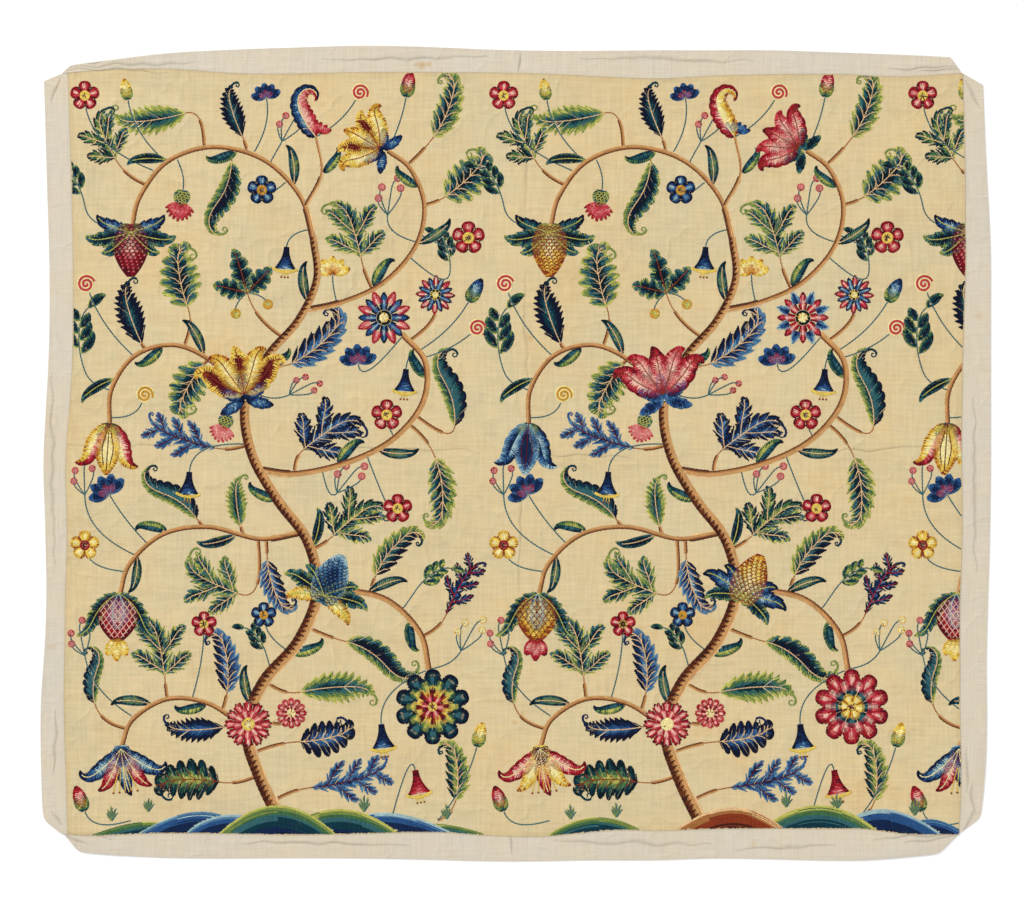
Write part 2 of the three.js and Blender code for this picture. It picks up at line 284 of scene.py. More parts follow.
class Needlework:
    """Collects stitches as rows of the stitch table."""

    def __init__(self, seed, pitch, stitch, wide):
        self.random = np.random.default_rng(seed)
        self.pitch = pitch
        self.stitch = stitch
        self.wide = wide
        self.parts = []
        self.order = 0
        self.piece = 0
        self.home = (0.0, 0.0, 0.0, 1.0, 1.0)

    def start(self, piece, x=0.0, y=0.0, turn=0.0, size=1.0, flip=1.0):
        """Begins a new form, which lies over those before it."""
        self.order += 1
        self.piece = piece
        self.home = (x, y, math.radians(turn), size, flip)

    def moved(self, points):
        x, y, turn, size, flip = self.home
        c, s = math.cos(turn) * size, math.sin(turn) * size
        px, py = points[..., 0] * flip, points[..., 1]
        return np.stack([x + c * px - s * py, y + s * px + c * py], -1)

    def lay(self, starts, ends, wools, width=None, lift=0):
        """Adds stitches, each a little lighter, darker or off in hue."""
        if len(starts) == 0:
            return
        colours = np.array([WOOLS[wool] for wool in wools], float) / 255
        shade = self.random.normal(1.0, SHADE_SPREAD, len(colours))[:, None]
        tint = self.random.normal(0.0, TINT_SPREAD, colours.shape)
        colours = np.clip(colours * shade + tint, 0.01, 1)
        width = np.broadcast_to(self.wide if width is None else width, len(starts))
        rest = np.tile([self.order, lift, self.piece], (len(starts), 1))
        self.parts.append(np.column_stack([starts, ends, width, rest, colours]))

    def row_grid(self, outer, inner):
        """Places along twice as many rows as there will be between two curves, and one more."""
        size = self.home[3]
        girth = max(np.linalg.norm(np.diff(c, axis=0), axis=1).sum() for c in (outer, inner)) * size
        count = max(int(round(girth / self.pitch)), 1)
        q = np.linspace(0, 1, 2 * count + 1)
        places = np.linspace(0, 1, len(outer))
        a = np.stack([np.interp(q, places, outer[:, i]) for i in (0, 1)], 1)
        b = np.stack([np.interp(q, places, inner[:, i]) for i in (0, 1)], 1)
        f = np.linspace(0, 1, ROW_PLACES)
        return count, self.moved(a[:, None] * (1 - f[None, :, None]) + b[:, None] * f[None, :, None])

    def row_room(self, k, spacing):
        """Where along row k it is laid: every other one is left out where rows crowd, and so on."""
        level, index = 0, k + 1
        while index % 2 == 0 and level < HALVINGS:
            index, level = index // 2, level + 1
        if level == HALVINGS:
            return np.arange(ROW_PLACES)
        return np.flatnonzero(spacing >= CROWDED * self.pitch / 2 ** level)

    def patch(self, outer, inner, bands, sides=False, reach=None, spread=0.08, low=1.8):
        """Long and short stitches between two curves, shaded from the outer edge inwards."""
        outer, inner = np.asarray(outer, float), np.asarray(inner, float)
        count, grid = self.row_grid(outer, inner)
        f = np.linspace(0, 1, ROW_PLACES)
        rows, gap = grid[1::2], grid[2::2] - grid[:-1:2]
        ray = rows[:, -1] - rows[:, 0]
        length = np.linalg.norm(ray, axis=1)
        way = ray / np.maximum(length, 1e-9)[:, None]
        spacing = np.abs(gap[..., 0] * way[:, None, 1] - gap[..., 1] * way[:, None, 0])
        halved = np.ceil(np.log2(CROWDED * self.pitch / np.maximum(spacing, 1e-3)))
        open_width = spacing * 2 ** np.clip(halved, 0, HALVINGS) * FULLNESS
        open_width = np.clip(open_width, THINNEST * self.wide, THICKEST * self.wide)
        starts, ends, widths = [], [], []
        for k in range(count):
            room = self.row_room(k, spacing[k])
            if not len(room) or length[k] < low:
                continue
            first, last = f[room[0]] * length[k], f[room[-1]] * length[k]
            if last - first < low:
                continue
            phase = (0.5 if k % 2 else 1.0) + self.random.uniform(-STAGGER, STAGGER)
            cuts = first + self.stitch * (phase + np.arange(int((last - first) / self.stitch) + 1))
            cuts = np.concatenate([[first], cuts[cuts < last - LAST_STITCH * self.stitch], [last]])
            points = rows[k, 0] + way[k] * cuts[:, None]
            starts.append(points[:-1])
            ends.append(points[1:])
            widths.append(np.interp((cuts[1:] + cuts[:-1]) / 2 / length[k], f, open_width[k]))
        if not starts:
            return
        starts, ends = np.vstack(starts), np.vstack(ends)
        edge = [even(self.moved(outer), count=max(24, 2 * count))]
        edge += [grid[0], grid[-1]] if sides else []
        away = (starts + ends)[:, None] / 2 - np.vstack(edge)[None]
        depth = np.sqrt((away ** 2).sum(2).min(1))
        depth = depth / (reach * self.home[3] if reach else max(depth.max(), 4.0))
        depth = depth + self.random.normal(0, spread, len(depth))
        limits = np.cumsum([share for _, share in bands])
        band = np.clip(np.searchsorted(limits / limits[-1], depth), 0, len(bands) - 1)
        self.lay(starts, ends, [bands[i][0] for i in band], np.concatenate(widths))

    def stem(self, points, wools, taper=(1.0, 1.0), stitch=8.5, rows=None, width=None, lift=0):
        """Rows of stem stitch along a path; wools run from its left side to its right."""
        path = Path(self.moved(smooth_line(points)))
        wools = (wools,) if isinstance(wools, str) else wools
        rows = rows or len(wools)
        count = max(int(path.length / (stitch * STEM_STEP)), 1)
        half = (rows - 1) / 2
        for row in range(rows):
            off = (row - half) * self.pitch
            wool = wools[min(int((row + 0.5) / rows * len(wools)), len(wools) - 1)]
            t0 = (np.arange(count + 1) - (row % 2) * 0.5) / count
            t1 = np.clip(t0 + STEM_OVERLAP / count, 0, 1)
            t0 = np.clip(t0, 0, 1)
            room = (taper[0] + (taper[1] - taper[0]) * t0) * max(half, 0.5) * self.pitch + 0.3
            keep = (t1 - t0 > 0.3 / count) & (abs(off) <= room)
            t0, t1 = t0[keep], t1[keep]
            slant = STEM_SLANT * self.pitch
            a = path.at(t0) - path.side(t0) * (off - slant)
            b = path.at(t1) - path.side(t1) * (off + slant)
            self.lay(a, b, [wool] * len(a), width, lift)

    def line(self, points, wool, width=1.5, stitch=8.5):
        """One raised row over other stitches, as for a vein."""
        self.stem(points, wool, stitch=stitch, rows=1, width=width, lift=1)

    def knots(self, points, wool, size=2.8):
        points = self.moved(np.atleast_2d(np.asarray(points, float)))
        turn = self.random.uniform(0, math.pi, len(points))
        way = np.column_stack([np.cos(turn), np.sin(turn)]) * size / 2
        self.lay(points - way, points + way, [wool] * len(points), size, 1)

    def table(self, edges, looks=9, fine=13, shortest=1.2, reach=0.8):
        """All the stitches, each cut short where another form or the cloth's edge covers it."""
        cover = Cover(edges)
        rows = np.vstack(self.parts)
        spots = (np.arange(looks) + 0.5) / looks
        marks = np.linspace(0.02, 0.98, fine)
        kept = []
        for order in np.unique(rows[:, ORDER])[::-1]:
            part = rows[rows[:, ORDER] == order]
            way = part[:, END] - part[:, START]
            length = np.linalg.norm(way, axis=1)
            free = cover.free(part[:, None, START] + way[:, None] * spots[None, :, None])
            first = np.argmax(free, 1)
            reached = np.where(np.arange(looks)[None] >= first[:, None], free, True)
            last = np.minimum.accumulate(reached, 1).sum(1)
            whole = free.all(1)
            since, until = np.where(whole, 0, first / looks), np.where(whole, 1, last / looks)
            good = free.any(1) & ((until - since) * length > shortest)
            cut = part.copy()
            cut[:, START] = part[:, START] + way * since[:, None]
            cut[:, END] = part[:, START] + way * until[:, None]
            kept.append(cut[good])
            flat = part[:, LIFT] == 0
            start, way = part[flat, None, START], way[flat]
            side = np.column_stack([-way[:, 1], way[:, 0]]) / np.maximum(length[flat], 1e-9)[:, None]
            for off in (-reach, 0.0, reach):
                cover.mark(start + way[:, None] * marks[None, :, None] + side[:, None] * off)
        return np.vstack(kept[::-1])


# Forms that the motifs are built from; each stands on its root and grows up

def tooth(kind, x):
    part = x - np.floor(x)
    if kind == "saw":
        return part ** 0.8
    if kind == "lobe":
        return np.abs(np.sin(np.pi * x)) ** 0.55
    if kind == "scallop":
        return np.abs(np.sin(np.pi * x)) ** 0.5
    if kind == "feather":
        return 1 - np.abs(2 * part - 1)
    return np.zeros_like(x)


def leaf(w, spine, width, shade, edge="plain", teeth=7, bite=0.3, belly=0.7, lean=0.35, vein=None,
         twigs=None, other=None, uneven=(1.0, 1.0), full=0.8, tail=0.0):
    """A leaf or petal on its spine, with stitches that slant from its edge to its middle; tail is the
    length of the thin end that curls to its left, or to its right where negative."""
    path = Path(spine)
    t = np.linspace(0.0, 1.0, 30 + 12 * teeth)
    body = np.sin(np.pi * t ** belly) ** full
    body[-1] = 0
    edges = []
    for side, share in ((1, uneven[0]), (-1, uneven[1])):
        shift = 0.5 if side < 0 and edge == "saw" else 0.0
        notch = tooth(edge, t * teeth + shift)
        bitten = 1 - bite + bite * notch if edge != "plain" else 1.0
        half = width / 2 * share * body * bitten
        outer = path.at(t) + side * path.side(t) * half[:, None]
        outer += path.heading(t) * (lean * 0.5 * half)[:, None]
        inner = path.at(np.clip(t - lean * half / path.length * 0.6, 0, 1))
        w.patch(outer, inner, SHADES[other if other and side < 0 else shade], reach=width * 0.34)
        edges.append(outer)
    if twigs:
        for k in range(1, teeth):
            at = k / teeth
            root = path.at(max(at - 0.1, 0))
            for outer in edges:
                tip = outer[int(at * (len(t) - 1))] * 0.72 + path.at(at) * 0.28
                w.line([root, (path.at(max(at - 0.06, 0)) + tip) / 2 + path.heading(at), tip], twigs)
    if vein:
        w.line(path.points[: int(len(path.points) * 0.9)], vein, 1.7)
    if tail:
        way = path.heading(0.95)
        heading = math.degrees(math.atan2(way[1], way[0]))
        end = curl(abs(tail), math.copysign(60, tail), math.copysign(330, tail), 0.1, path.at(0.94), heading)
        wool = SHADES[shade][1][0]
        w.stem(end, wool, rows=1, stitch=6, width=2.8)
        w.stem(end[:26], wool, rows=2, stitch=6)


def petal(w, heading, length, width, shade, turn=0, hook=0, root=(0, 0), belly=0.75, **more):
    leaf(w, curl(length, turn, hook, start=root, heading=heading), width, shade, belly=belly, **more)


def ring(w, radius, inside, count, shade, bump=0.18, turn=0.0, pointed=False, frill=0):
    """A round of petals."""
    q = np.linspace(-0.5, 0.5, 26)
    if pointed:
        swell, narrow = 1 - np.abs(2 * q) ** 1.3 * 0.55, 0.9
    else:
        swell, narrow = 1 - bump * np.abs(2 * q) ** 3 + 0.04 * frill * np.sin(q * 6 * math.pi), 1.0
    for k in range(count):
        angle = turn + (k + q) * 2 * math.pi / count + math.pi / 2
        angle_out = turn + (k + q * narrow) * 2 * math.pi / count + math.pi / 2
        outer = circle(angle_out) * (radius * swell)[:, None]
        w.patch(outer, circle(angle) * inside, SHADES[shade], sides=True, low=1.5)


def disc(w, radius, bands, centre=(0.0, 0.0)):
    middle = np.asarray(centre)
    rim = circle(np.linspace(0, 2 * math.pi, 40))
    w.patch(middle + rim * radius, middle + rim * 0.3, bands, spread=0.05)


def oval(w, length, width, shade, scale=None, step=9.0, root=(0, 0), knot=None):
    """A cone-shaped body, with rows of scales over it."""
    y = np.linspace(0, 1, 24)
    half = width / 2 * np.sin(np.pi * (0.1 + 0.86 * y) ** 0.85) ** 0.75
    spine = np.stack([0 * y, y * length], 1) + root
    for side in (1, -1):
        w.patch(np.stack([side * half, y * length], 1) + root, spine, SHADES[shade], reach=width * 0.45)
    row, at = 0, step
    bend = np.linspace(0, math.pi, 7)
    while scale and at < length * 0.92:
        limit = np.interp(at, y * length, half) - step / 2
        middles = np.arange(-limit + (row % 2) * step / 2, limit + 0.1, step)
        for x in middles:
            arc = np.stack([x - np.cos(bend) * step / 2, at - np.sin(bend) * step * 0.55], 1) + root
            w.line(arc, scale, 1.6, 5)
            if knot:
                w.knots([(x + root[0], at + step * 0.1 + root[1])], knot)
        at += step * 0.62
        row += 1


# The motifs, by name

def lobed(w, a="teal", v="peach"):
    leaf(w, curl(140, 25, 150, 0.62), 84, a, "lobe", 7, 0.5, vein=v, twigs=v, belly=0.62, full=0.75, tail=56)


def flame(w, a="flame", v="peach"):
    leaf(w, curl(120, -18, -50), 54, a, "feather", 11, 0.42, vein=v, lean=1.2, tail=-44)


def plume(w, a="blue", b="haze", v="peach"):
    leaf(w, curl(165, 40, 170), 60, a, "saw", 8, 0.34, vein=v, twigs=v, other=b, belly=0.6, lean=0.6, tail=40)


def scroll(w, a="teal", b="glow", v="peach"):
    leaf(w, curl(180, -70, 190, 0.45), 48, a, "scallop", 10, 0.22, vein=v, other=b, belly=0.62,
         uneven=(1.25, 0.7), lean=0.8, tail=48)


def vine(w, a="teal", b="teal", v="peach"):
    spine = curl(132, -14, -90, 0.5)
    arms = ((0.05, 1, 66, 36), (0.1, -1, 72, 36), (0.32, 1, 74, 34), (0.4, -1, 70, 32))
    for share, side, long, wide in arms:
        heading = 90 + side * (62 - 50 * share)
        arm = curl(long, -side * 14, side * 70, 0.55, on_curl(spine, share), heading)
        leaf(w, arm, wide, a if side > 0 else b, "saw", 5, 0.45, vein=v, belly=0.85, lean=1.0)
    leaf(w, spine, 46, a, "saw", 8, 0.42, vein=v, belly=0.7, lean=1.0, other=b, tail=-54)


def coral(w, a="haze", v="wine"):
    spine = curl(150, 15, 40, 0.5)
    for t, side in ((0.2, 1), (0.3, -1), (0.46, 1), (0.56, -1), (0.72, 1), (0.8, -1)):
        heading = 90 + 15 * t + side * 55
        arm = curl(62 - 26 * t, -side * 15, -side * 30, start=on_curl(spine, t), heading=heading)
        leaf(w, arm, 24, a, "saw", 4, 0.55, vein=v, belly=0.8, lean=0.9)
    leaf(w, spine, 32, a, "saw", 9, 0.6, vein=v, belly=0.75, lean=0.9, tail=34)


def blade(w, a="pine", v="peach"):
    leaf(w, curl(72, -30, -50), 17, a, belly=0.75, lean=0.7)
    w.line(curl(58, -26), v)


def pair(w, a="moss", b="dusk"):
    leaf(w, curl(60, -35, -90), 17, a, other=b)


def carnation(w, a="red", b="pink", eye="yellow"):
    ring(w, 44, 26, 12, a, 0.2, frill=1)
    ring(w, 30, 13, 9, b, 0.2, 0.3)
    disc(w, 12, ((eye, 0.5), ("rust", 0.2), ("cream", 0.3)))


def star(w, a="blue", b="pink", eye="gold"):
    ring(w, 46, 24, 8, b, turn=math.pi / 8, pointed=True)
    ring(w, 42, 13, 8, a, pointed=True)
    disc(w, 12, (("pine", 0.35), (eye, 0.4), ("cream", 0.25)))


def daisy(w, a="red", eye="yellow"):
    ring(w, 20, 7, 5, a, 0.3)
    disc(w, 7, ((eye, 0.6), ("bark", 0.4)))


def rosette(w, a="dusk", b="moss", c="ember", d="red"):
    ring(w, 78, 46, 10, a, 0.28)
    ring(w, 60, 34, 10, b, 0.3, math.pi / 10)
    ring(w, 44, 22, 8, c, 0.26)
    ring(w, 28, 10, 6, d, 0.2, 0.4)
    disc(w, 10, (("yellow", 0.5), ("wine", 0.5)))


def cone(w, a="red", scale="wine", b="teal", c="blue", knot="pink"):
    leaves = ((20, 84, 34), (160, 84, 34), (-12, 70, 28), (192, 70, 28), (50, 66, 30), (130, 66, 30))
    for way, long, wide in leaves:
        side = 1 if way < 90 else -1
        petal(w, way, long, wide, b if abs(way - 90) < 75 else c, -side * 20, -side * 60, (0, 14),
              vein="lime", edge="saw", teeth=5, bite=0.25)
    oval(w, 92, 62, a, scale, knot=knot)
    for way in (20, 55, 125, 160):
        petal(w, way, 30, 14, "moss", root=(0, 2))


def pomegranate(w, a="red", b="teal", net="blush", crown="sun"):
    for side in (1, -1):
        low = curl(120, side * 70, -side * 110, 0.5, heading=90 - side * 62)
        leaf(w, low, 34, b, "saw", 8, 0.35, vein="lime")
        high = curl(80, side * 60, side * 40, 0.5, heading=90 - side * 30)
        leaf(w, high, 26, "blue", "scallop", 6, 0.2, vein="pale")
    oval(w, 84, 78, a, root=(0, 8))
    t = np.linspace(0, 1, 30)[:, None]
    for k in range(-4, 5):
        for slope in (1, -1):
            p = np.array([(11 * k - slope * 26, 14)]) * (1 - t) + np.array([(11 * k + slope * 26, 84)]) * t
            room = 39 * np.sin(np.pi * (0.1 + 0.86 * (p[:, 1] - 8) / 84) ** 0.85) ** 0.75 - 3
            inside = np.abs(p[:, 0]) < room
            if inside.sum() > 4:
                w.line(p[inside][[0, -1]], net, 1.4)
    for way, long in ((60, 40), (120, 40), (90, 46)):
        petal(w, way, long, 22, crown, root=(0, 84), belly=0.9)


def tulip(w, a="red", b="sun", stripe="wine"):
    for side in (1, -1):
        leaf(w, curl(100, side * 30, -side * 120, 0.5, start=(side * 4, 0), heading=90 - side * 34), 34, a,
             "scallop", 6, 0.16, belly=0.75, other=b)
    leaf(w, curl(96), 46, b, belly=0.85, vein=stripe)
    for off in (-10, 10):
        w.line([(off * 0.3, 12), (off, 46), (off * 0.6, 76)], stripe, 1.6)
    for side in (1, -1):
        petal(w, 90 - side * 50, 34, 14, "moss", side * 20)


def lily(w, a="blue", b="red", c="frost"):
    petals = ((90, 90, 8, 30), (48, 104, -30, -150), (132, 104, 30, 150), (68, 92, -14, -60),
              (112, 92, 14, 60))
    for way, long, turn, hook in petals:
        petal(w, way, long, 30, a if way in (48, 132, 90) else b, turn, hook, (0, 6), vein="cream",
              edge="scallop", teeth=6, bite=0.14)
    oval(w, 44, 36, c, "navy", 7)
    for k in (-2, -1, 0, 1, 2):
        w.line([(k * 3, 40), (k * 8, 66), (k * 11, 84)], "yellow")
        w.knots([(k * 11, 85)], "rust", 3.4)


def iris(w, a="sun", b="ember", c="blue"):
    for way, long, turn, hook, shade in ((25, 92, 40, -190, a), (155, 92, -40, 190, a), (60, 84, 10, -110, b),
                                         (120, 84, -10, 110, b), (90, 78, 0, 40, a)):
        petal(w, way, long, 36, shade, turn, hook, (0, 10), edge="scallop", teeth=5, bite=0.15, vein="rust")
    for way in (-20, 30, 90, 150, 200):
        petal(w, way, 46, 20, c, belly=0.9, edge="saw", teeth=4, bite=0.2)


def bell(w, a="blue", rim="yellow"):
    y = np.linspace(0, 1, 20)
    half = 5 + 15 * y ** 2.2
    for side in (1, -1):
        w.patch(np.stack([side * half, 40 * y], 1), np.stack([0 * y, 40 * y], 1), SHADES[a], reach=14)
    w.stem([(-22, 40), (-8, 45), (8, 45), (22, 40)], (rim, rim), lift=1)
    for k in (-1, 0, 1):
        w.line([(k * 3, 42), (k * 6, 54)], rim)
        w.knots([(k * 6, 55)], "rust", 3.2)


def bud(w, a="red", b="moss"):
    petal(w, 90, 34, 18, a, root=(0, 4), belly=0.8)
    for way in (62, 118):
        petal(w, way, 24, 11, b, (90 - way) * 0.8)


def thistle(w, a="pink", b="teal"):
    for k in range(-4, 5):
        petal(w, 90 - k * 15, 40 - abs(k) * 2, 9, a, root=(0, 22), belly=0.9)
    oval(w, 30, 30, b, "lime", 7)


def berries(w, a="crimson", b="pink"):
    for way, long in ((60, 52), (92, 66), (128, 50), (150, 34)):
        path = curl(long, (90 - way) * 0.5, 60 if way < 90 else -60, heading=way)
        w.stem(path, "sea")
        disc(w, 6.5, ((a, 0.6), (b, 0.4)), path[-1])


def sprig(w, a="teal", b="glow"):
    spine = curl(96, 40, 30)
    w.stem(spine, "sea")
    for k in range(6):
        side = 1 if k % 2 else -1
        at = on_curl(spine, 0.28 + 0.1 * k)
        arm = curl(40 - 3 * k, side * 30, side * 60, start=at, heading=110 - side * 48)
        leaf(w, arm, 14, a, other=b, lean=0.8)
    leaf(w, curl(34, 20, 60, start=spine[-1], heading=150), 14, a, other=b, lean=0.8)


def oak(w, a="teal", v="rust", fruit="gold"):
    for way, long in ((90, 74), (30, 56), (150, 56)):
        leaf(w, curl(long, 0, 25, heading=way), 34, a, "lobe", 4, 0.45, vein=v, belly=0.75)
    for x in (-26, 26):
        w.stem([(0, 0), (x * 0.6, -8), (x, -20)], "sea")
        disc(w, 8, ((fruit, 0.5), ("lime", 0.5)), (x, -26))


def paisley(w, a="blue", b="pink", c="red"):
    leaf(w, curl(190, -40, -250, 0.3, heading=120), 50, a, "scallop", 12, 0.2, other=b, belly=0.5,
         uneven=(0.9, 1.2), vein="cream")
    for k in range(5):
        petal(w, 100 - 24 * k, 34, 14, c, root=(4 * k - 8, 8), belly=0.9)


def spiral(w, a="rose"):
    t = np.linspace(0, 1, 60)
    turns = circle(t * 4.2 * math.pi)
    w.stem(turns * (12 * (1 - t * 0.85))[:, None] + (0, 12), (a, a, "cream"), stitch=5)


def trefoil(w, a="haze", b="red"):
    for way in (20, 55, 90, 125, 160):
        petal(w, way, 30, 15, a, belly=1.0)
    for way in (40, 90, 140):
        petal(w, way, 17, 9, b, belly=1.0)


def grass(w, a="leaf"):
    for way, long in ((60, 40), (75, 58), (92, 70), (108, 54), (125, 38)):
        w.stem(curl(long, (90 - way) * -0.5, heading=way), (a, "sea"), (1, 0.2))


MOTIFS = {form.__name__: form for form in (
    lobed, flame, plume, scroll, vine, coral, blade, pair, carnation, star, daisy, rosette, cone, pomegranate,
    tulip, lily, iris, bell, bud, thistle, berries, sprig, oak, paisley, spiral, trefoil,
)}


# The layout of one tree, in millimetres from the middle of its own space; turns in degrees from
# upright. A bough: its points, its width at the start and at the end.
BOUGHS = (
    (((18, -818), (-36, -706), (-66, -600), (-30, -500), (46, -410), (88, -300), (66, -190), (0, -100),
      (-56, 0), (-70, 110), (-22, 210), (46, 290), (86, 380), (78, 470)), 30, 15),
    (((-68, -600), (-150, -545), (-240, -535), (-316, -580), (-340, -640)), 15, 9),
    (((84, -318), (150, -300), (240, -320), (310, -390), (330, -470)), 16, 10),
    (((52, -172), (-40, -186), (-150, -160), (-250, -176), (-322, -240), (-344, -310)), 15, 9),
    (((-40, -36), (40, -44), (150, -20), (250, 30), (316, 110), (322, 200), (270, 262)), 16, 10),
    (((-70, 110), (-130, 190), (-220, 236), (-310, 214), (-362, 140), (-366, 60)), 15, 9),
    (((60, 312), (140, 330), (230, 372), (300, 450), (320, 540), (290, 620), (240, 660)), 14, 9),
    (((80, 460), (50, 560), (-30, 640), (-140, 668), (-240, 636), (-300, 560), (-318, 490)), 15, 9),
    (((62, 540), (96, 610), (84, 690)), 10, 8),
)

# Flowers on the wood: motif, shades in the first tree and in the second, x, y, turn, size
BLOOMS = (
    ("lily", ("blue", "red", "frost"), ("red", "sun", "ember"), -342, -636, 186, 1.2),
    ("rosette", ("dusk", "moss", "ember", "red"), ("red", "pink", "dusk", "sun"), 338, -552, 0, 1.05),
    ("pomegranate", ("red",), ("sun", "teal", "rust", "red"), -346, -305, 178, 1.15),
    ("star", ("blue", "pink", "gold"), ("red", "frost", "gold"), 232, 296, 0, 1.35),
    ("tulip", ("red", "sun", "wine"), ("blue", "frost", "wine"), -366, 66, 176, 1.2),
    ("iris", ("sun", "ember", "blue"), ("red", "pink", "teal"), 232, 660, 60, 1.15),
    ("cone", ("red",), ("sun", "rust", "teal", "dusk", "crimson"), -320, 500, 180, 1.25),
    ("paisley", ("blue", "pink", "red"), ("red", "sun", "blue"), 84, 690, 10, 0.9),
    ("carnation", ("red", "pink", "yellow"), ("red", "pink", "cream"), -64, -590, 0, 1.15),
    ("cone", ("frost", "navy", "teal", "sun", "sky"), ("sun", "rust", "blue", "teal", "cream"),
     94, -326, -24, 1.25),
    ("iris", ("ember", "sun", "blue"), ("red", "pink", "haze"), -70, 116, 10, 1.4),
)

# Leaves and flowers on stems: motif, shades, x, y, turn, size, flip
LEAVES = (
    ("lobed", ("moss", "rust"), -128, -716, 80, 1.1, 1),
    ("flame", ("blue", "peach"), -118, -596, 100, 1.1, 1),
    ("plume", (), -110, -520, -8, 1.0, 1),
    ("vine", (), -246, -486, 6, 1.15, -1),
    ("scroll", ("dusk", "glow"), -398, -545, 14, 0.8, 1),
    ("flame", (), 50, -520, -78, 1.4, 1),
    ("coral", (), 74, -728, -84, 1.2, 1),
    ("lobed", ("blue", "peach"), 50, -628, -88, 0.95, 1),
    ("vine", ("teal", "flame"), -84, -306, 70, 1.15, 1),
    ("scroll", (), 150, -410, -104, 1.1, 1),
    ("plume", (), -22, -232, -176, 0.9, 1),
    ("scroll", ("dusk", "glow"), -176, -142, 36, 1.0, -1),
    ("flame", (), -80, -160, 14, 0.95, 1),
    ("plume", ("dusk", "glow"), 214, -266, -24, 1.0, -1),
    ("vine", ("moss", "teal"), 120, -180, -46, 1.1, 1),
    ("coral", ("blue", "crimson"), 368, -350, -22, 0.95, -1),
    ("plume", ("teal", "glow"), 344, -10, -160, 1.1, -1),
    ("coral", (), -136, 12, 78, 1.1, -1),
    ("vine", ("blue", "blue"), 56, 8, -50, 1.2, 1),
    ("scroll", ("dusk", "glow"), 386, 60, -4, 1.1, -1),
    ("plume", (), 30, 196, -64, 1.15, 1),
    ("lobed", (), -160, 196, 140, 1.0, 1),
    ("lobed", (), -196, 320, 20, 1.1, -1),
    ("flame", ("dusk",), -296, 240, 26, 1.2, 1),
    ("oak", (), -66, 350, 16, 1.4, 1),
    ("vine", ("teal", "flame"), 182, 426, 12, 1.15, -1),
    ("lobed", (), 366, 560, -56, 1.05, 1),
    ("scroll", (), -100, 636, 178, 1.05, 1),
    ("flame", (), -200, 742, 106, 1.35, 1),
    ("plume", ("teal", "glow"), 340, 690, -36, 1.05, 1),
    ("vine", ("moss", "teal"), -352, 640, 30, 0.95, 1),
    ("flame", ("dusk",), -76, 690, 26, 1.0, 1),
    ("star", ("blue", "red", "yellow"), 344, 346, 20, 0.95, 1),
    ("carnation", ("pink", "red", "cream"), 30, -566, 0, 0.75, 1),
    ("plume", ("moss", "glow"), 388, -756, -12, 0.95, 1),
)
SPRIGS = (
    ("berries", (), -420, -440, 10, 1.2, 1),
    ("bud", (), -420, -780, 20, 1.6, 1),
    ("sprig", (), -22, -446, 14, 0.9, 1),
    ("daisy", (), -160, -372, 0, 1.4, 1),
    ("daisy", ("blue", "gold"), -30, -352, 0, 1.4, 1),
    ("bell", (), 226, -590, 186, 1.3, 1),
    ("bell", ("red", "yellow"), 300, -690, 190, 1.3, 1),
    ("bud", ("sun", "moss"), 434, -640, -14, 1.5, 1),
    ("berries", ("gold", "cream"), 400, -430, -30, 1.3, 1),
    ("sprig", ("moss", "glow"), 300, -300, -34, 1.0, -1),
    ("daisy", (), 262, -120, 0, 1.6, 1),
    ("berries", (), 130, -86, -40, 1.3, 1),
    ("bell", ("blue", "yellow"), -192, -40, 176, 1.2, 1),
    ("trefoil", ("haze", "red"), -366, -90, 30, 1.6, 1),
    ("daisy", ("sun", "crimson"), -420, -200, 0, 1.6, 1),
    ("berries", (), -420, -90, 0, 1.2, 1),
    ("spiral", ("gold",), -296, 110, -20, 1.6, 1),
    ("thistle", (), -108, 84, 160, 1.1, 1),
    ("sprig", ("teal", "glow"), -420, 180, 20, 1.5, -1),
    ("berries", ("crimson", "pink"), 26, 128, -64, 1.1, 1),
    ("daisy", (), 238, 84, 0, 1.7, 1),
    ("trefoil", (), 176, 196, 4, 1.5, 1),
    ("bell", (), 280, 184, 176, 1.2, 1),
    ("spiral", (), 420, 260, -50, 1.7, 1),
    ("bud", ("blue", "moss"), 416, 330, -30, 1.6, 1),
    ("sprig", (), 376, 396, -4, 0.95, 1),
    ("daisy", ("red", "yellow"), 416, 470, 0, 1.8, 1),
    ("berries", (), 240, 520, -10, 1.3, 1),
    ("trefoil", ("sun", "red"), 120, 390, 0, 1.4, 1),
    ("bell", ("blue", "yellow"), 20, 450, 176, 1.2, 1),
    ("daisy", ("blue", "gold"), -34, 574, 0, 1.6, 1),
    ("thistle", ("red", "teal"), -206, 574, 170, 1.2, 1),
    ("spiral", ("rose",), -410, 350, 20, 1.7, 1),
    ("sprig", ("teal", "glow"), -420, 540, 10, 1.1, 1),
    ("daisy", (), -420, 780, 0, 1.6, 1),
    ("bud", ("sun", "moss"), -326, 770, 10, 1.3, 1),
    ("trefoil", (), -24, 774, 10, 1.2, 1),
    ("berries", (), 10, 680, -30, 1.2, 1),
    ("spiral", (), 170, 770, -30, 1.6, 1),
    ("bud", ("red", "moss"), 280, 776, -10, 1.6, 1),
)

# Boughs that are wider than this have teeth along their shaded side
TRUNK = 20

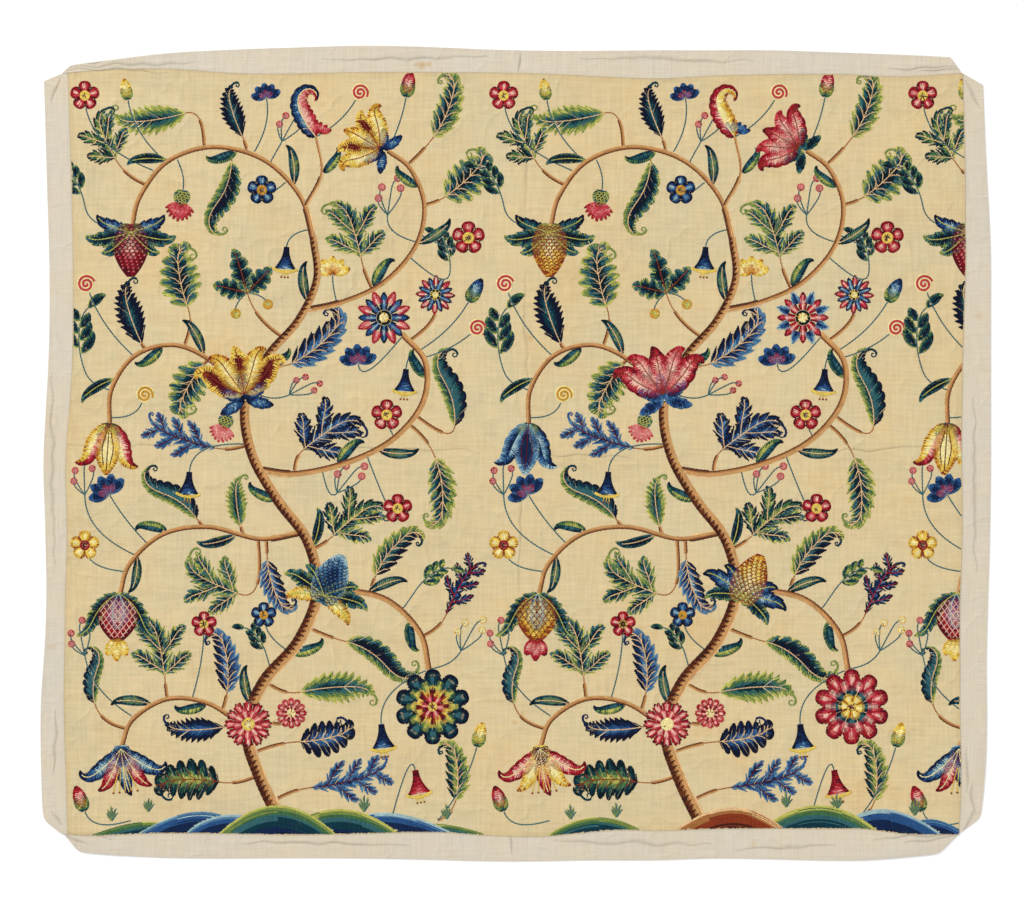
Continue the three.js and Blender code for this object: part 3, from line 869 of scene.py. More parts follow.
# Small leaves that sit on a bough: bough, share along it, side, motif, shades, size
LEAFLETS = (
    (0, 0.2, 1, "blade", (), 1.3), (0, 0.3, -1, "pair", (), 1.4),
    (0, 0.47, -1, "blade", ("teal", "lime"), 1.3), (0, 0.56, 1, "pair", (), 1.3),
    (0, 0.78, -1, "pair", ("glow", "dusk"), 1.3), (0, 0.9, 1, "blade", (), 1.3),
    (1, 0.3, 1, "pair", (), 1.3), (1, 0.66, -1, "blade", (), 1.3), (2, 0.34, 1, "blade", (), 1.3),
    (2, 0.66, -1, "pair", ("glow", "dusk"), 1.3), (3, 0.3, 1, "blade", ("teal", "peach"), 1.3),
    (3, 0.62, -1, "pair", (), 1.3), (3, 0.8, 1, "blade", (), 1.2), (4, 0.3, 1, "pair", (), 1.4),
    (4, 0.46, -1, "blade", (), 1.3), (4, 0.8, 1, "pair", ("glow", "dusk"), 1.3),
    (5, 0.3, -1, "blade", (), 1.3), (5, 0.5, 1, "pair", (), 1.3),
    (5, 0.78, -1, "blade", ("teal", "lime"), 1.3), (6, 0.3, 1, "pair", (), 1.4),
    (6, 0.56, -1, "blade", (), 1.3), (6, 0.8, 1, "pair", (), 1.2), (7, 0.22, -1, "blade", (), 1.3),
    (7, 0.46, 1, "pair", ("glow", "dusk"), 1.3), (7, 0.72, -1, "blade", ("teal", "lime"), 1.3),
    (8, 0.5, -1, "pair", (), 1.2),
)

# Hillocks along the foot of the panel: from x, to x, height, lean, shade; and tufts of grass: x, y, size
HILLS = (
    (-930, -700, 30, 0.2, "turf"), (-830, -560, 52, 0.1, "slope"), (-250, -60, 26, -0.3, "turf"),
    (-400, -130, 50, -0.2, "slope"), (-520, -250, 58, 0.0, "turf"), (-720, -470, 46, -0.2, "slope"),
    (-650, -390, 66, 0.0, "turf"), (70, 290, 40, 0.0, "turf"), (840, 985, 36, -0.2, "slope"),
    (700, 930, 58, -0.2, "slope"), (520, 800, 66, 0.0, "turf"), (330, 600, 62, 0.1, "earth"),
)
GRASSES = (
    (-880, -800, 1.2), (-800, -780, 1.0), (-330, -780, 1.3), (-150, -796, 1.1), (120, -796, 1.1),
    (220, -792, 1.2), (590, -770, 1.2), (700, -776, 1.4), (870, -788, 1.3),
)

# Where stems may leave the ground, in a tree's own space
SOIL = ((-320, -800), (-180, -784), (140, -780), (250, -790), (350, -800))

# Where the trees stand across the panel, and which shades their flowers take
TREES = ((-519, 0), (394, 1), (1307, 0))

# The pieces of needlework, the number of each kind's first piece, and the motifs that count as leaves
PIECES = (
    "crewel_stems", "crewel_boughs", "crewel_leaves_left", "crewel_leaves_right", "crewel_leaflets",
    "crewel_sprigs_left", "crewel_sprigs_right", "crewel_flowers_left", "crewel_flowers_right",
    "crewel_hillocks",
)
STEMS, WOOD, LEAF, LEAFLET, SPRIG, FLOWER, HILL = 0, 1, 2, 4, 5, 7, 9
LARGE = ("lobed", "plume", "flame", "vine", "coral", "scroll", "oak", "star", "carnation")


def nearest_wood(point):
    """The place on a bough or on the ground closest to a point."""
    places = np.vstack([even(smooth_line(points), 6.0) for points, _, _ in BOUGHS] + [np.array(SOIL, float)])
    return places[np.argmin(((places - point) ** 2).sum(1))]


def stem_to(w, tip, turn, wools):
    """A stem that leaves the nearest wood and runs into the foot of a motif."""
    tip = np.asarray(tip, float)
    back = math.radians(turn + 90)
    foot = np.array([math.cos(back), math.sin(back)])
    root = nearest_wood(tip - foot * 30)
    far = np.linalg.norm(tip - root)
    before = tip - foot * far * 0.45
    after = root + (before - root) * 0.35
    t = np.linspace(0, 1, 40)[:, None]
    curve = root * (1 - t) ** 3 + 3 * after * t * (1 - t) ** 2 + 3 * before * t * t * (1 - t) + tip * t ** 3
    w.stem(curve, wools, (1, 0.8))


def bough(w, points, first, last):
    """Rows of stem stitch from the dark side of the wood to its light one."""
    w.stem(points, BARK, (1.0, last / first), 11, max(3, int(round(first / w.pitch))))


def bark_teeth(w, points, first, last, step=2.9, rows=4, shortest=0.3, growth=0.85, width=2.7):
    """Dark teeth along the shaded side of the wood, each of a few stitches that grow longer."""
    path = Path(w.moved(smooth_line(points)))
    count = int(path.length / step)
    t = (np.arange(count) + 0.5) / count
    half = (first + (last - first) * t) / 2
    reach = shortest + growth * (np.arange(count) % rows) / (rows - 1) + w.random.normal(0, 0.06, count)
    a = path.at(t) + path.side(t) * (half * 1.02)[:, None]
    b = path.at(t) + path.side(t) * (half * (1.0 - reach))[:, None] + path.heading(t) * 1.5
    w.lay(a, b, w.random.choice(["bark", "bark", "walnut"], count), width, 1)


def hillock(w, x0, x1, height, lean, shade, base=-834, foot=-852):
    """A mound of rows that follow its crest in lengths of about 90 mm, shaded downwards."""
    count, row_step, row_width = 80, 0.94, 1.1
    q = np.linspace(0, 1, count)
    x = x0 + (x1 - x0) * q
    crest = base + height * np.sin(np.pi * q ** (1 + lean)) ** 0.85
    limits = np.cumsum([share for _, share in SHADES[shade]])
    depth = 0.0
    while depth < height + base - foot:
        for part in np.array_split(np.arange(count), max(int((x1 - x0) / 90), 1)):
            near = np.arange(part[0], min(part[-1] + 2, count))
            near = near[crest[near] - depth > foot]
            if len(near) > 2:
                deep = depth / height * 0.9 + w.random.normal(0, 0.05)
                band = min(np.searchsorted(limits / limits[-1], deep), len(limits) - 1)
                row = np.stack([x[near], crest[near] - depth], 1)
                w.stem(row, SHADES[shade][band][0], stitch=w.stitch, rows=1, width=w.pitch * row_width)
        depth += w.pitch * row_step


def tree(w, x, half, scheme):
    """One tree; half is 0 in the left half of the panel and 1 in the right one."""
    for kind, shades, mx, my, turn, size, flip in LEAVES + SPRIGS:
        large = kind in LARGE
        w.start(STEMS, x)
        stem_to(w, (mx, my), turn, TWIG if large else "sea")
        w.start((LEAF if large else SPRIG) + half, x + mx, my, turn, size, flip)
        MOTIFS[kind](w, *shades)
    for index, share, side, kind, shades, size in LEAFLETS:
        path = Path(BOUGHS[index][0])
        way = path.heading(share)
        turn = math.degrees(math.atan2(way[1], way[0])) - 90 + side * 46
        place = path.at(share) + path.side(share) * side * 3
        w.start(LEAFLET, x + place[0], place[1], turn, size, side)
        MOTIFS[kind](w, *shades)
    for points, first, last in BOUGHS[1:] + BOUGHS[:1]:
        w.start(WOOD, x)
        bough(w, points, first, last)
        if first > TRUNK:
            bark_teeth(w, points, first, last)
    for kind, first_shades, second_shades, mx, my, turn, size in BLOOMS:
        w.start(FLOWER + half, x + mx, my, turn, size)
        MOTIFS[kind](w, *(second_shades if scheme else first_shades))


def needlework(seed, pitch, stitch, wide, edges):
    """All the stitches of the panel as one table."""
    w = Needlework(seed, pitch, stitch, wide)
    for number, (x, scheme) in enumerate(TREES):
        tree(w, x, min(number, 1), scheme)
    for x, y, size in GRASSES:
        w.start(LEAFLET, x, y, 0, size)
        grass(w)
    for x0, x1, height, lean, shade in HILLS:
        w.start(HILL)
        hillock(w, x0, x1, height, lean, shade)
    return w.table(edges)


# Meshes and sheets

def linear(colour):
    """A screen colour, 0 to 255 or 0 to 1, as linear light."""
    c = np.asarray(colour, float)
    c = c / 255 if c.max() > 1 else c
    return np.where(c <= 0.04045, c / 12.92, ((c + 0.055) / 1.055) ** 2.4)


def link_object(name, data):
    piece = bpy.data.objects.new(name, data)
    bpy.context.scene.collection.objects.link(piece)
    return piece


def plain_mesh(piece):
    """Replaces a piece's mesh with the result of its modifiers."""
    depsgraph = bpy.context.evaluated_depsgraph_get()
    made = bpy.data.meshes.new_from_object(piece.evaluated_get(depsgraph))
    piece.modifiers.clear()
    piece.data = made
    made.name = piece.name


def crease_relief(x, y):
    """How far the fine creases lift the cloth, in metres."""
    lift = np.zeros_like(x)
    for cx, cy, length, width, height, turn in CREASES:
        c, s = math.cos(math.radians(turn)), math.sin(math.radians(turn))
        along = ((x / MM - cx) * c + (y / MM - cy) * s) / (length / 2)
        bow = 0.12 * width * np.sin(along * 2.5)
        across = (-(x / MM - cx) * s + (y / MM - cy) * c - bow) / (width / 2)
        hump = np.clip(1 - along ** 2, 0, 1) ** 2 * np.clip(1 - across ** 2, 0, 1) ** 2
        lift += CREASE_SCALE * height * MM * hump
    return lift


def fine_sheet(node, name, levels=2):
    """A finer copy of a cloth node, smooth over its folds, with crisp rims and its distance to the rim."""
    bm = bmesh.new()
    bm.from_mesh(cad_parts[node].data)
    bmesh.ops.remove_doubles(bm, verts=bm.verts, dist=1e-5)
    bmesh.ops.join_triangles(bm, faces=bm.faces, angle_face_threshold=math.radians(30),
                             angle_shape_threshold=math.radians(40))
    crease = bm.edges.layers.float.new("crease_edge")
    for edge in bm.edges:
        if edge.calc_face_angle(0.0) > SHARP_TURN:
            edge[crease] = 1.0
    mesh = bpy.data.meshes.new(name)
    bm.to_mesh(mesh)
    bm.free()
    piece = link_object(name, mesh)
    mesh.polygons.foreach_set("use_smooth", [True] * len(mesh.polygons))
    finer = piece.modifiers.new("Finer", "SUBSURF")
    finer.levels = finer.render_levels = levels
    plain_mesh(piece)
    mesh = piece.data
    if "crease_edge" in mesh.attributes:
        mesh.attributes.remove(mesh.attributes["crease_edge"])
    place = np.zeros(len(mesh.vertices) * 3)
    mesh.vertices.foreach_get("co", place)
    place = place.reshape(-1, 3)
    place[:, 2] += crease_relief(place[:, 0], place[:, 1])
    mesh.vertices.foreach_set("co", place.ravel())
    store_rim(mesh, place)
    mark_sharp_rim(mesh)
    return piece


def mark_sharp_rim(mesh):
    bm = bmesh.new()
    bm.from_mesh(mesh)
    for edge in bm.edges:
        edge.smooth = edge.calc_face_angle(0.0) < SHARP_TURN
    bm.to_mesh(mesh)
    bm.free()


def store_rim(mesh, place):
    """Stores each point's distance to the sheet's rim as the attribute rim, in metres."""
    bm = bmesh.new()
    bm.from_mesh(mesh)
    sharp = [edge for edge in bm.edges if edge.calc_face_angle(0.0) > SHARP_TURN]
    marks = np.array([[v.co[:2] for v in edge.verts] for edge in sharp], float).mean(1)
    bm.free()
    near = np.zeros(len(place))
    at_once = 4000
    for i in range(0, len(place), at_once):
        block = place[i:i + at_once, None, :2]
        near[i:i + at_once] = np.sqrt(((block - marks[None]) ** 2).sum(2).min(1))
    attribute = mesh.attributes.new("rim", "FLOAT", "POINT")
    attribute.data.foreach_set("value", near.astype(np.float32))


def cloth_edges(cloth):
    """The sheet's four edges seen from above, in millimetres, each from left to right or upwards."""
    bm = bmesh.new()
    bm.from_mesh(cloth.data)
    rim = {v for edge in bm.edges if edge.calc_face_angle(0.0) > SHARP_TURN for v in edge.verts}
    points = np.array([v.co[:2] for v in rim]) / MM
    bm.free()
    reach = np.abs(points).max(0)
    level = np.abs(points[:, 1]) / reach[1] > np.abs(points[:, 0]) / reach[0]
    edges = {}
    for side, along, chosen in (
        ("top", 0, level & (points[:, 1] > 0)), ("bottom", 0, level & (points[:, 1] < 0)),
        ("left", 1, ~level & (points[:, 0] < 0)), ("right", 1, ~level & (points[:, 0] > 0)),
    ):
        line = points[chosen]
        edges[side] = line[np.lexsort((line[:, 1 - along], line[:, along]))]
    return edges


# Stitches set on the cloth by Geometry Nodes

def stitch_pattern():
    """One stitch for a place 1 long, 1 wide and 1 high: a low roof whose rims run in under its neighbours."""
    verts = [(-0.55, -0.66, 0), (0.55, -0.66, 0), (0.55, 0.66, 0), (-0.55, 0.66, 0)]
    verts += [(-0.4, 0, 1), (0.4, 0, 1)]
    faces = [(0, 1, 5, 4), (2, 3, 4, 5), (1, 2, 5), (3, 0, 4), (3, 2, 1, 0)]
    spots = (
        ((0.04, 0.22), (0.96, 0.22), (0.8, 0.6), (0.2, 0.6)),
        ((0.96, 0.98), (0.04, 0.98), (0.2, 0.6), (0.8, 0.6)),
        ((0.96, 0.22), (0.96, 0.98), (0.8, 0.6)),
        ((0.04, 0.98), (0.04, 0.22), (0.2, 0.6)),
        ((0.04, 0.16), (0.96, 0.16), (0.96, 0.02), (0.04, 0.02)),
    )
    mesh = bpy.data.meshes.new("stitch_pattern")
    mesh.from_pydata(verts, [], faces)
    layer = mesh.uv_layers.new(name="OFBake")
    for polygon in mesh.polygons:
        polygon.use_smooth = True
        for loop, spot in zip(polygon.loop_indices, spots[polygon.index]):
            layer.data[loop].uv = spot
    return link_object("stitch_pattern", mesh)


class Tree:
    """Adds nodes to a tree and links them."""

    def __init__(self, tree):
        self.tree = tree

    def socket(self, name, way, kind, default=None):
        socket = self.tree.interface.new_socket(name, in_out=way, socket_type=kind)
        if default is not None:
            socket.default_value = default

    def give(self, socket, value):
        if isinstance(value, bpy.types.NodeSocket):
            self.tree.links.new(value, socket)
        else:
            socket.default_value = value

    def add(self, kind, inputs=(), **settings):
        node = self.tree.nodes.new(kind)
        for name, value in settings.items():
            setattr(node, name, value)
        for key, value in dict(inputs).items():
            self.give(node.inputs[key], value)
        return node

    def math(self, operation, a, b=0.0, clamp=False):
        return self.add("ShaderNodeMath", {0: a, 1: b}, operation=operation, use_clamp=clamp).outputs[0]

    def plus(self, a, b, clamp=False):
        return self.math("ADD", a, b, clamp)

    def minus(self, a, b, clamp=False):
        return self.math("SUBTRACT", a, b, clamp)

    def times(self, a, b):
        return self.math("MULTIPLY", a, b)

    def over(self, a, b):
        return self.math("DIVIDE", a, b)

    def vector(self, operation, a, b=(0.0, 0.0, 0.0)):
        node = self.add("ShaderNodeVectorMath", {0: a, 1: b}, operation=operation)
        return node.outputs["Value" if operation in ("LENGTH", "DOT_PRODUCT") else "Vector"]

    def place(self):
        return self.add("ShaderNodeTexCoord").outputs["Object"]

    def noise(self, place, scale, detail, output="Fac", roughness=0.5):
        given = {"Vector": place, "Scale": scale, "Detail": detail, "Roughness": roughness}
        return self.add("ShaderNodeTexNoise", given, noise_dimensions="2D").outputs[output]

    def wandering(self, place, scale, detail, reach):
        """A place that strays by up to half of reach, in metres."""
        wander = self.vector("SUBTRACT", self.noise(place, scale, detail, "Color"), (0.5, 0.5, 0.5))
        return self.vector("ADD", place, self.vector("MULTIPLY", wander, (reach, reach, 0.0)))

    def named(self, name, kind):
        node = self.add("GeometryNodeInputNamedAttribute", {"Name": name}, data_type=kind)
        return node.outputs["Attribute"]

    def group(self, build, inputs):
        """A shader node group, built at its first use."""
        label = build.__name__.replace("_", " ").capitalize()
        tree = bpy.data.node_groups.get(label) or build(label)
        return self.add("ShaderNodeGroup", inputs, node_tree=tree).outputs


def stitch_tree():
    """Points with along, wide, lift, wool and cell become stitches that lie on the cloth."""
    t = Tree(bpy.data.node_groups.new("Stitches on cloth", "GeometryNodeTree"))
    for name, kind, default in (
        ("Geometry", "Geometry", None), ("Cloth", "Object", None), ("Stitch", "Object", None),
        ("Wool", "Material", None), ("Height", "Float", 0.0011), ("Sunk", "Float", 0.00025),
        ("Lift", "Float", 0.0006), ("Unevenness", "Float", 0.15), ("Cell", "Vector", None),
        ("Seed", "Int", 7),
    ):
        t.socket(name, "INPUT", f"NodeSocket{kind}", default)
    t.socket("Geometry", "OUTPUT", "NodeSocketGeometry")
    given = t.add("NodeGroupInput").outputs
    here = t.add("GeometryNodeInputPosition").outputs[0]
    cloth = t.add("GeometryNodeObjectInfo", {"Object": given["Cloth"]}).outputs["Geometry"]
    drop = t.add("GeometryNodeRaycast", {
        "Target Geometry": cloth, "Source Position": t.vector("ADD", here, (0.0, 0.0, 0.2)),
        "Ray Direction": (0.0, 0.0, -1.0), "Ray Length": 1.0})
    lifted = t.minus(t.times(t.named("lift", "FLOAT"), given["Lift"]), given["Sunk"])
    rise = t.add("ShaderNodeCombineXYZ", {"Z": lifted}).outputs[0]
    placed = t.add("GeometryNodeSetPosition", {
        "Geometry": given["Geometry"], "Position": t.vector("ADD", drop.outputs["Hit Position"], rise)})
    facing = t.add("FunctionNodeAlignRotationToVector", {"Vector": drop.outputs["Hit Normal"]}, axis="Z")
    turned = t.add("FunctionNodeAlignRotationToVector", {
        "Rotation": facing.outputs[0], "Vector": t.named("along", "FLOAT_VECTOR")}, axis="X", pivot_axis="Z")
    uneven = t.add("FunctionNodeRandomValue", {"Seed": given["Seed"]}, data_type="FLOAT")
    uneven.inputs[2].default_value = 0.0
    size = t.add("ShaderNodeCombineXYZ", {
        "X": t.vector("LENGTH", t.named("along", "FLOAT_VECTOR")), "Y": t.named("wide", "FLOAT"),
        "Z": t.times(given["Height"], t.minus(1.0, t.times(uneven.outputs[1], given["Unevenness"])))})
    pattern = t.add("GeometryNodeObjectInfo", {"Object": given["Stitch"], "As Instance": True})
    laid = t.add("GeometryNodeInstanceOnPoints", {
        "Points": placed.outputs[0], "Instance": pattern.outputs["Geometry"],
        "Rotation": turned.outputs[0], "Scale": size.outputs[0]})
    joined = t.add("GeometryNodeRealizeInstances", {"Geometry": laid.outputs[0]})
    local = t.vector("MULTIPLY", t.named("OFBake", "FLOAT_VECTOR"), given["Cell"])
    mapped = t.vector("ADD", local, t.named("cell", "FLOAT_VECTOR"))
    stored = t.add("GeometryNodeStoreNamedAttribute", {
        "Geometry": joined.outputs[0], "Name": "OFBake", "Value": mapped}, data_type="FLOAT2",
        domain="CORNER")
    done = t.add("GeometryNodeSetMaterial", {"Geometry": stored.outputs[0], "Material": given["Wool"]})
    t.add("NodeGroupOutput", {0: done.outputs[0]})
    return t.tree


def set_input(modifier, name, value):
    for item in modifier.node_group.interface.items_tree:
        if item.item_type == "SOCKET" and item.in_out == "INPUT" and item.name == name:
            modifier[item.identifier] = value
            return
    raise ValueError(f"the tree has no input named {name}")


def lay_stitches(name, table, cloth, material, height):
    """A piece of stitches from rows of the stitch table."""
    starts, ends = table[:, START] * MM, table[:, END] * MM
    count = len(table)
    columns = int(math.ceil(math.sqrt(count)))
    rows = int(math.ceil(count / columns))
    flat = np.zeros(count)
    number = np.arange(count)
    mesh = bpy.data.meshes.new(name)
    mesh.vertices.add(count)
    mesh.vertices.foreach_set("co", np.column_stack([(starts + ends) / 2, flat]).ravel())
    for attribute, kind, field, values in (
        ("along", "FLOAT_VECTOR", "vector", np.column_stack([(ends - starts) * 1.05, flat])),
        ("wide", "FLOAT", "value", table[:, WIDTH] * MM),
        ("lift", "FLOAT", "value", table[:, LIFT]),
        ("cell", "FLOAT_VECTOR", "vector",
         np.column_stack([(number % columns) / columns, (number // columns) / rows, flat])),
        ("wool", "FLOAT_COLOR", "color", np.column_stack([linear(table[:, COLOUR] * 255), flat + 1])),
    ):
        made = mesh.attributes.new(attribute, kind, "POINT")
        made.data.foreach_set(field, values.astype(np.float32).ravel())
    piece = link_object(name, mesh)
    pattern = stitch_pattern()
    modifier = piece.modifiers.new("Stitches", "NODES")
    modifier.node_group = bpy.data.node_groups.get("Stitches on cloth") or stitch_tree()
    for key, value in (("Cloth", cloth), ("Stitch", pattern), ("Wool", material), ("Height", height),
                       ("Cell", (1.0 / columns, 1.0 / rows, 0.0))):
        set_input(modifier, key, value)
    piece.update_tag()
    plain_mesh(piece)
    bpy.data.objects.remove(pattern)
    for spare in ("along", "wide", "lift", "cell"):
        if spare in piece.data.attributes:
            piece.data.attributes.remove(piece.data.attributes[spare])
    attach(piece, "root")


# Materials

def group_tree(label, inputs, outputs):
    """A shader tree with its named inputs and their values, and its named outputs."""
    t = Tree(bpy.data.node_groups.new(label, "ShaderNodeTree"))
    for name, value in inputs.items():
        t.socket(name, "INPUT", "NodeSocketVector" if isinstance(value, tuple) else "NodeSocketFloat", value)
    for name in outputs:
        t.socket(name, "OUTPUT", "NodeSocketFloat")
    return t, t.add("NodeGroupInput").outputs


def linen_weave(label):
    """Plain weave with thick and thin threads: a height and a shade that varies about 1."""
    t, given = group_tree(
        label, {"Thread": 0.0012, "Slub length": 0.09, "Slub width": 0.0026, "Slub shade": 0.08},
        ("Height", "Shade"))
    split = t.add("ShaderNodeSeparateXYZ", {0: t.wandering(t.place(), 9.0, 1.0, 0.006)}).outputs
    turns = t.over(math.pi, given["Thread"])
    over = t.times(t.math("SINE", t.times(split["X"], turns)), t.math("SINE", t.times(split["Y"], turns)))
    fine, long = t.over(1.0, given["Slub width"]), t.over(1.0, given["Slub length"])
    shades = []
    for x, y in ((fine, long), (long, fine)):
        stretched = t.add("ShaderNodeCombineXYZ", {"X": t.times(split["X"], x), "Y": t.times(split["Y"], y)})
        shades.append(t.noise(stretched.outputs[0], 1.0, 3.0))
    slub = t.minus(t.plus(*shades), 1.0)
    t.add("NodeGroupOutput", {
        "Height": t.plus(t.times(over, 0.35), slub),
        "Shade": t.plus(1.0, t.times(slub, given["Slub shade"]))})
    return t.tree


def soft_crumple(label):
    """Soft creases of a cloth that was folded away: a height."""
    t, given = group_tree(
        label, {"Size": 0.09, "Fineness": 1.0, "Softness": 1.0, "Turn": (0.0, 0.0, 0.0),
                "Stretch": (1.0, 1.0, 1.0)}, ("Height",))
    place = t.place()
    scale = t.over(1.0, given["Size"])
    away = t.math("ABSOLUTE", t.minus(t.noise(place, scale, 2.0), 0.5))
    crease = t.math("POWER", t.minus(1.0, t.times(away, 9.0), True), 2.0)
    drawn = t.add("ShaderNodeMapping", {
        "Vector": place, "Rotation": given["Turn"], "Scale": given["Stretch"]}, vector_type="TEXTURE")
    slow = t.noise(drawn.outputs[0], t.times(scale, 0.45), given["Fineness"])
    t.add("NodeGroupOutput", {"Height": t.plus(t.times(crease, 0.35), t.times(slow, given["Softness"]))})
    return t.tree


def fold_line(label):
    """One sharp fold in a cloth: 1 on the line from Start along Along, 0 beyond its width."""
    none = (0.0, 0.0, 0.0)
    t, given = group_tree(
        label, {"Place": none, "Start": none, "Along": none, "Share": none, "Width": 0.008}, ("Mask",))
    away = t.vector("SUBTRACT", given["Place"], given["Start"])
    share = t.plus(t.vector("DOT_PRODUCT", away, given["Share"]), 0.0, True)
    nearest = t.add("ShaderNodeVectorMath", {0: given["Along"], "Scale": share}, operation="SCALE")
    far = t.vector("LENGTH", t.vector("SUBTRACT", away, nearest.outputs["Vector"]))
    fade = t.plus(0.4, t.times(t.math("SINE", t.times(share, math.pi)), 0.6))
    near = t.minus(1.0, t.over(far, t.times(given["Width"], fade)), True)
    t.add("NodeGroupOutput", {"Mask": t.times(near, t.times(near, fade))})
    return t.tree


def stain_spot(label):
    """One stain: its strength in the middle, 0 beyond its uneven rim."""
    none = (0.0, 0.0, 0.0)
    t, given = group_tree(
        label, {"Place": none, "Middle": none, "Ragged": 0.5, "Radius": 0.01, "Strength": 0.5}, ("Mask",))
    far = t.vector("LENGTH", t.vector("SUBTRACT", given["Place"], given["Middle"]))
    near = t.minus(t.plus(0.9, given["Ragged"]), t.over(far, given["Radius"]), True)
    t.add("NodeGroupOutput", {"Mask": t.times(near, given["Strength"])})
    return t.tree


def strongest(t, masks):
    total = 0.0
    for mask in masks:
        total = t.math("MAXIMUM", total, mask)
    return total


def cloth_marks(t, box):
    """The folds and the stains whose middles lie in a box, as two masks."""

    def inside(x, y):
        return box[0].x < x * MM < box[1].x and box[0].y < y * MM < box[1].y

    flat = t.vector("MULTIPLY", t.place(), (1.0, 1.0, 0.0))
    bent = t.wandering(flat, 22.0, 0.0, 0.012)
    ragged = t.noise(flat, 90.0, 3.0)
    folds, stains = [], []
    for x0, y0, x1, y1, width in FOLD_LINES:
        if inside((x0 + x1) / 2, (y0 + y1) / 2):
            along = np.array([(x1 - x0) * MM, (y1 - y0) * MM, 0.0])
            folds.append(t.group(fold_line, {
                "Place": bent, "Start": (x0 * MM, y0 * MM, 0.0), "Along": along,
                "Share": along / (along @ along), "Width": width * MM})["Mask"])
    for x, y, radius, strength in STAINS:
        if inside(x, y):
            stains.append(t.group(stain_spot, {
                "Place": flat, "Ragged": ragged, "Middle": (x * MM, y * MM, 0.0), "Radius": radius * MM,
                "Strength": strength})["Mask"])
    return strongest(t, folds), strongest(t, stains)


def new_material(name, roughness, sheen=0.0, specular=0.25):
    material = bpy.data.materials.new(name)
    material.use_nodes = True
    shader = material.node_tree.nodes["Principled BSDF"]
    shader.inputs["Roughness"].default_value = roughness
    shader.inputs["Specular IOR Level"].default_value = specular
    shader.inputs["Sheen Weight"].default_value = sheen
    shader.inputs["Sheen Roughness"].default_value = 0.5
    return material, Tree(material.node_tree), shader


def blend(t, factor, a, b, mode="MIX"):
    node = t.add("ShaderNodeMix", data_type="RGBA", blend_type=mode)
    sockets = {socket.identifier: socket for socket in node.inputs}
    for key, value in (("Factor_Float", factor), ("A_Color", a), ("B_Color", b)):
        t.give(sockets[key], value)
    return next(socket for socket in node.outputs if socket.identifier == "Result_Color")


def finish_surface(t, shader, colour, height, distance, strength):
    """Gives the shader its colour and a relief of so many metres."""
    t.give(shader.inputs["Base Color"], colour)
    relief = t.add("ShaderNodeBump", {"Height": height, "Distance": distance, "Strength": strength})
    t.give(shader.inputs["Normal"], relief.outputs[0])


def linen_material(name, box, colour, aged, rim_width, rim_browning_and_shade, weave, crumple, relief, tinge,
                   fold_relief_and_shade):
    """Linen with weave, old creases, sharp folds with painted shadow, stains, uneven tinge and a browned rim
    with painted shade.
    """
    material, t, shader = new_material(name, 0.92, 0.1)
    woven = t.group(linen_weave, weave)
    crumpled = t.group(soft_crumple, crumple)["Height"]
    folds, stains = cloth_marks(t, box)
    folds = t.times(folds, fold_relief_and_shade)
    cloudy = t.noise(t.place(), 3.6, 7.0, roughness=0.8)
    # Towards the sheet's rim the linen turns browner and darker: partly ageing of the edge, partly painted
    # shade along the seams
    rim = t.add("ShaderNodeAttribute", attribute_name="rim").outputs["Fac"]
    near = t.minus(1.0, t.over(rim, rim_width), True)
    near = t.times(t.times(near, near), t.plus(0.4, cloudy))
    patches = t.times(t.minus(cloudy, 0.42, True), 0.9)
    age = t.plus(t.times(near, rim_browning_and_shade), patches, True)
    clean = blend(t, age, (*colour, 1.0), (*aged, 1.0))
    stained = blend(t, stains, clean, (*linear(STAIN), 1.0))
    # Along each fold the cloth is painted up to 16 % darker: painted shadow of the fold, beside its relief in
    # the height below
    shade = t.times(woven["Shade"], t.minus(1.0, t.times(folds, 0.16)))
    cool = t.plus(1.0 - 0.5 * tinge, t.times(cloudy, tinge))
    tone = t.add("ShaderNodeCombineColor", {
        0: shade, 1: t.times(shade, t.math("POWER", cool, 0.4)), 2: t.times(shade, cool)}).outputs[0]
    height = t.minus(t.plus(t.times(woven["Height"], 0.1), crumpled), folds)
    finish_surface(t, shader, blend(t, 1.0, stained, tone, "MULTIPLY"), height, relief, 1.0)
    return material


def wool_material():
    """Two-ply wool in the colour of each stitch, with loose fibres and a little fading."""
    material, t, shader = new_material("Crewel wool", 0.9, 0.03, 0.1)
    wool = t.add("ShaderNodeAttribute", attribute_name="wool").outputs["Color"]
    place = t.place()
    fibre = t.noise(place, 900.0, 1.0)
    faded = t.noise(place, 7.0, 1.0)
    shade = t.plus(0.87, t.plus(t.times(fibre, 0.14), t.times(faded, 0.08)))
    grey = t.add("ShaderNodeCombineColor", {0: shade, 1: shade, 2: shade}).outputs[0]
    finish_surface(t, shader, blend(t, 1.0, wool, grey, "MULTIPLY"), fibre, 0.0003, 0.6)
    return material


def thread_material(colour):
    material, t, shader = new_material("Linen thread", 0.8, 0.05)
    darker = tuple(c * 0.72 for c in colour)
    worn = t.noise(t.place(), 60.0, 2.0)
    t.give(shader.inputs["Base Color"], blend(t, worn, (*colour, 1.0), (*darker, 1.0)))
    return material


# Settings a user would change

def colour_setting(name, description, shown):
    return FloatVectorProperty(
        name=name, description=description, subtype="COLOR", size=3, min=0, max=1,
        default=tuple(linear(shown)))


def stitch_setting(name, description, default, low, high):
    """A size in millimetres."""
    return FloatProperty(
        name=name, description=f"{description}, in millimetres", default=default, min=low, max=high)


def length_setting(name, description, default, low, high):
    return FloatProperty(
        name=name, description=description, default=default, min=low, max=high, subtype="DISTANCE",
        unit="LENGTH")


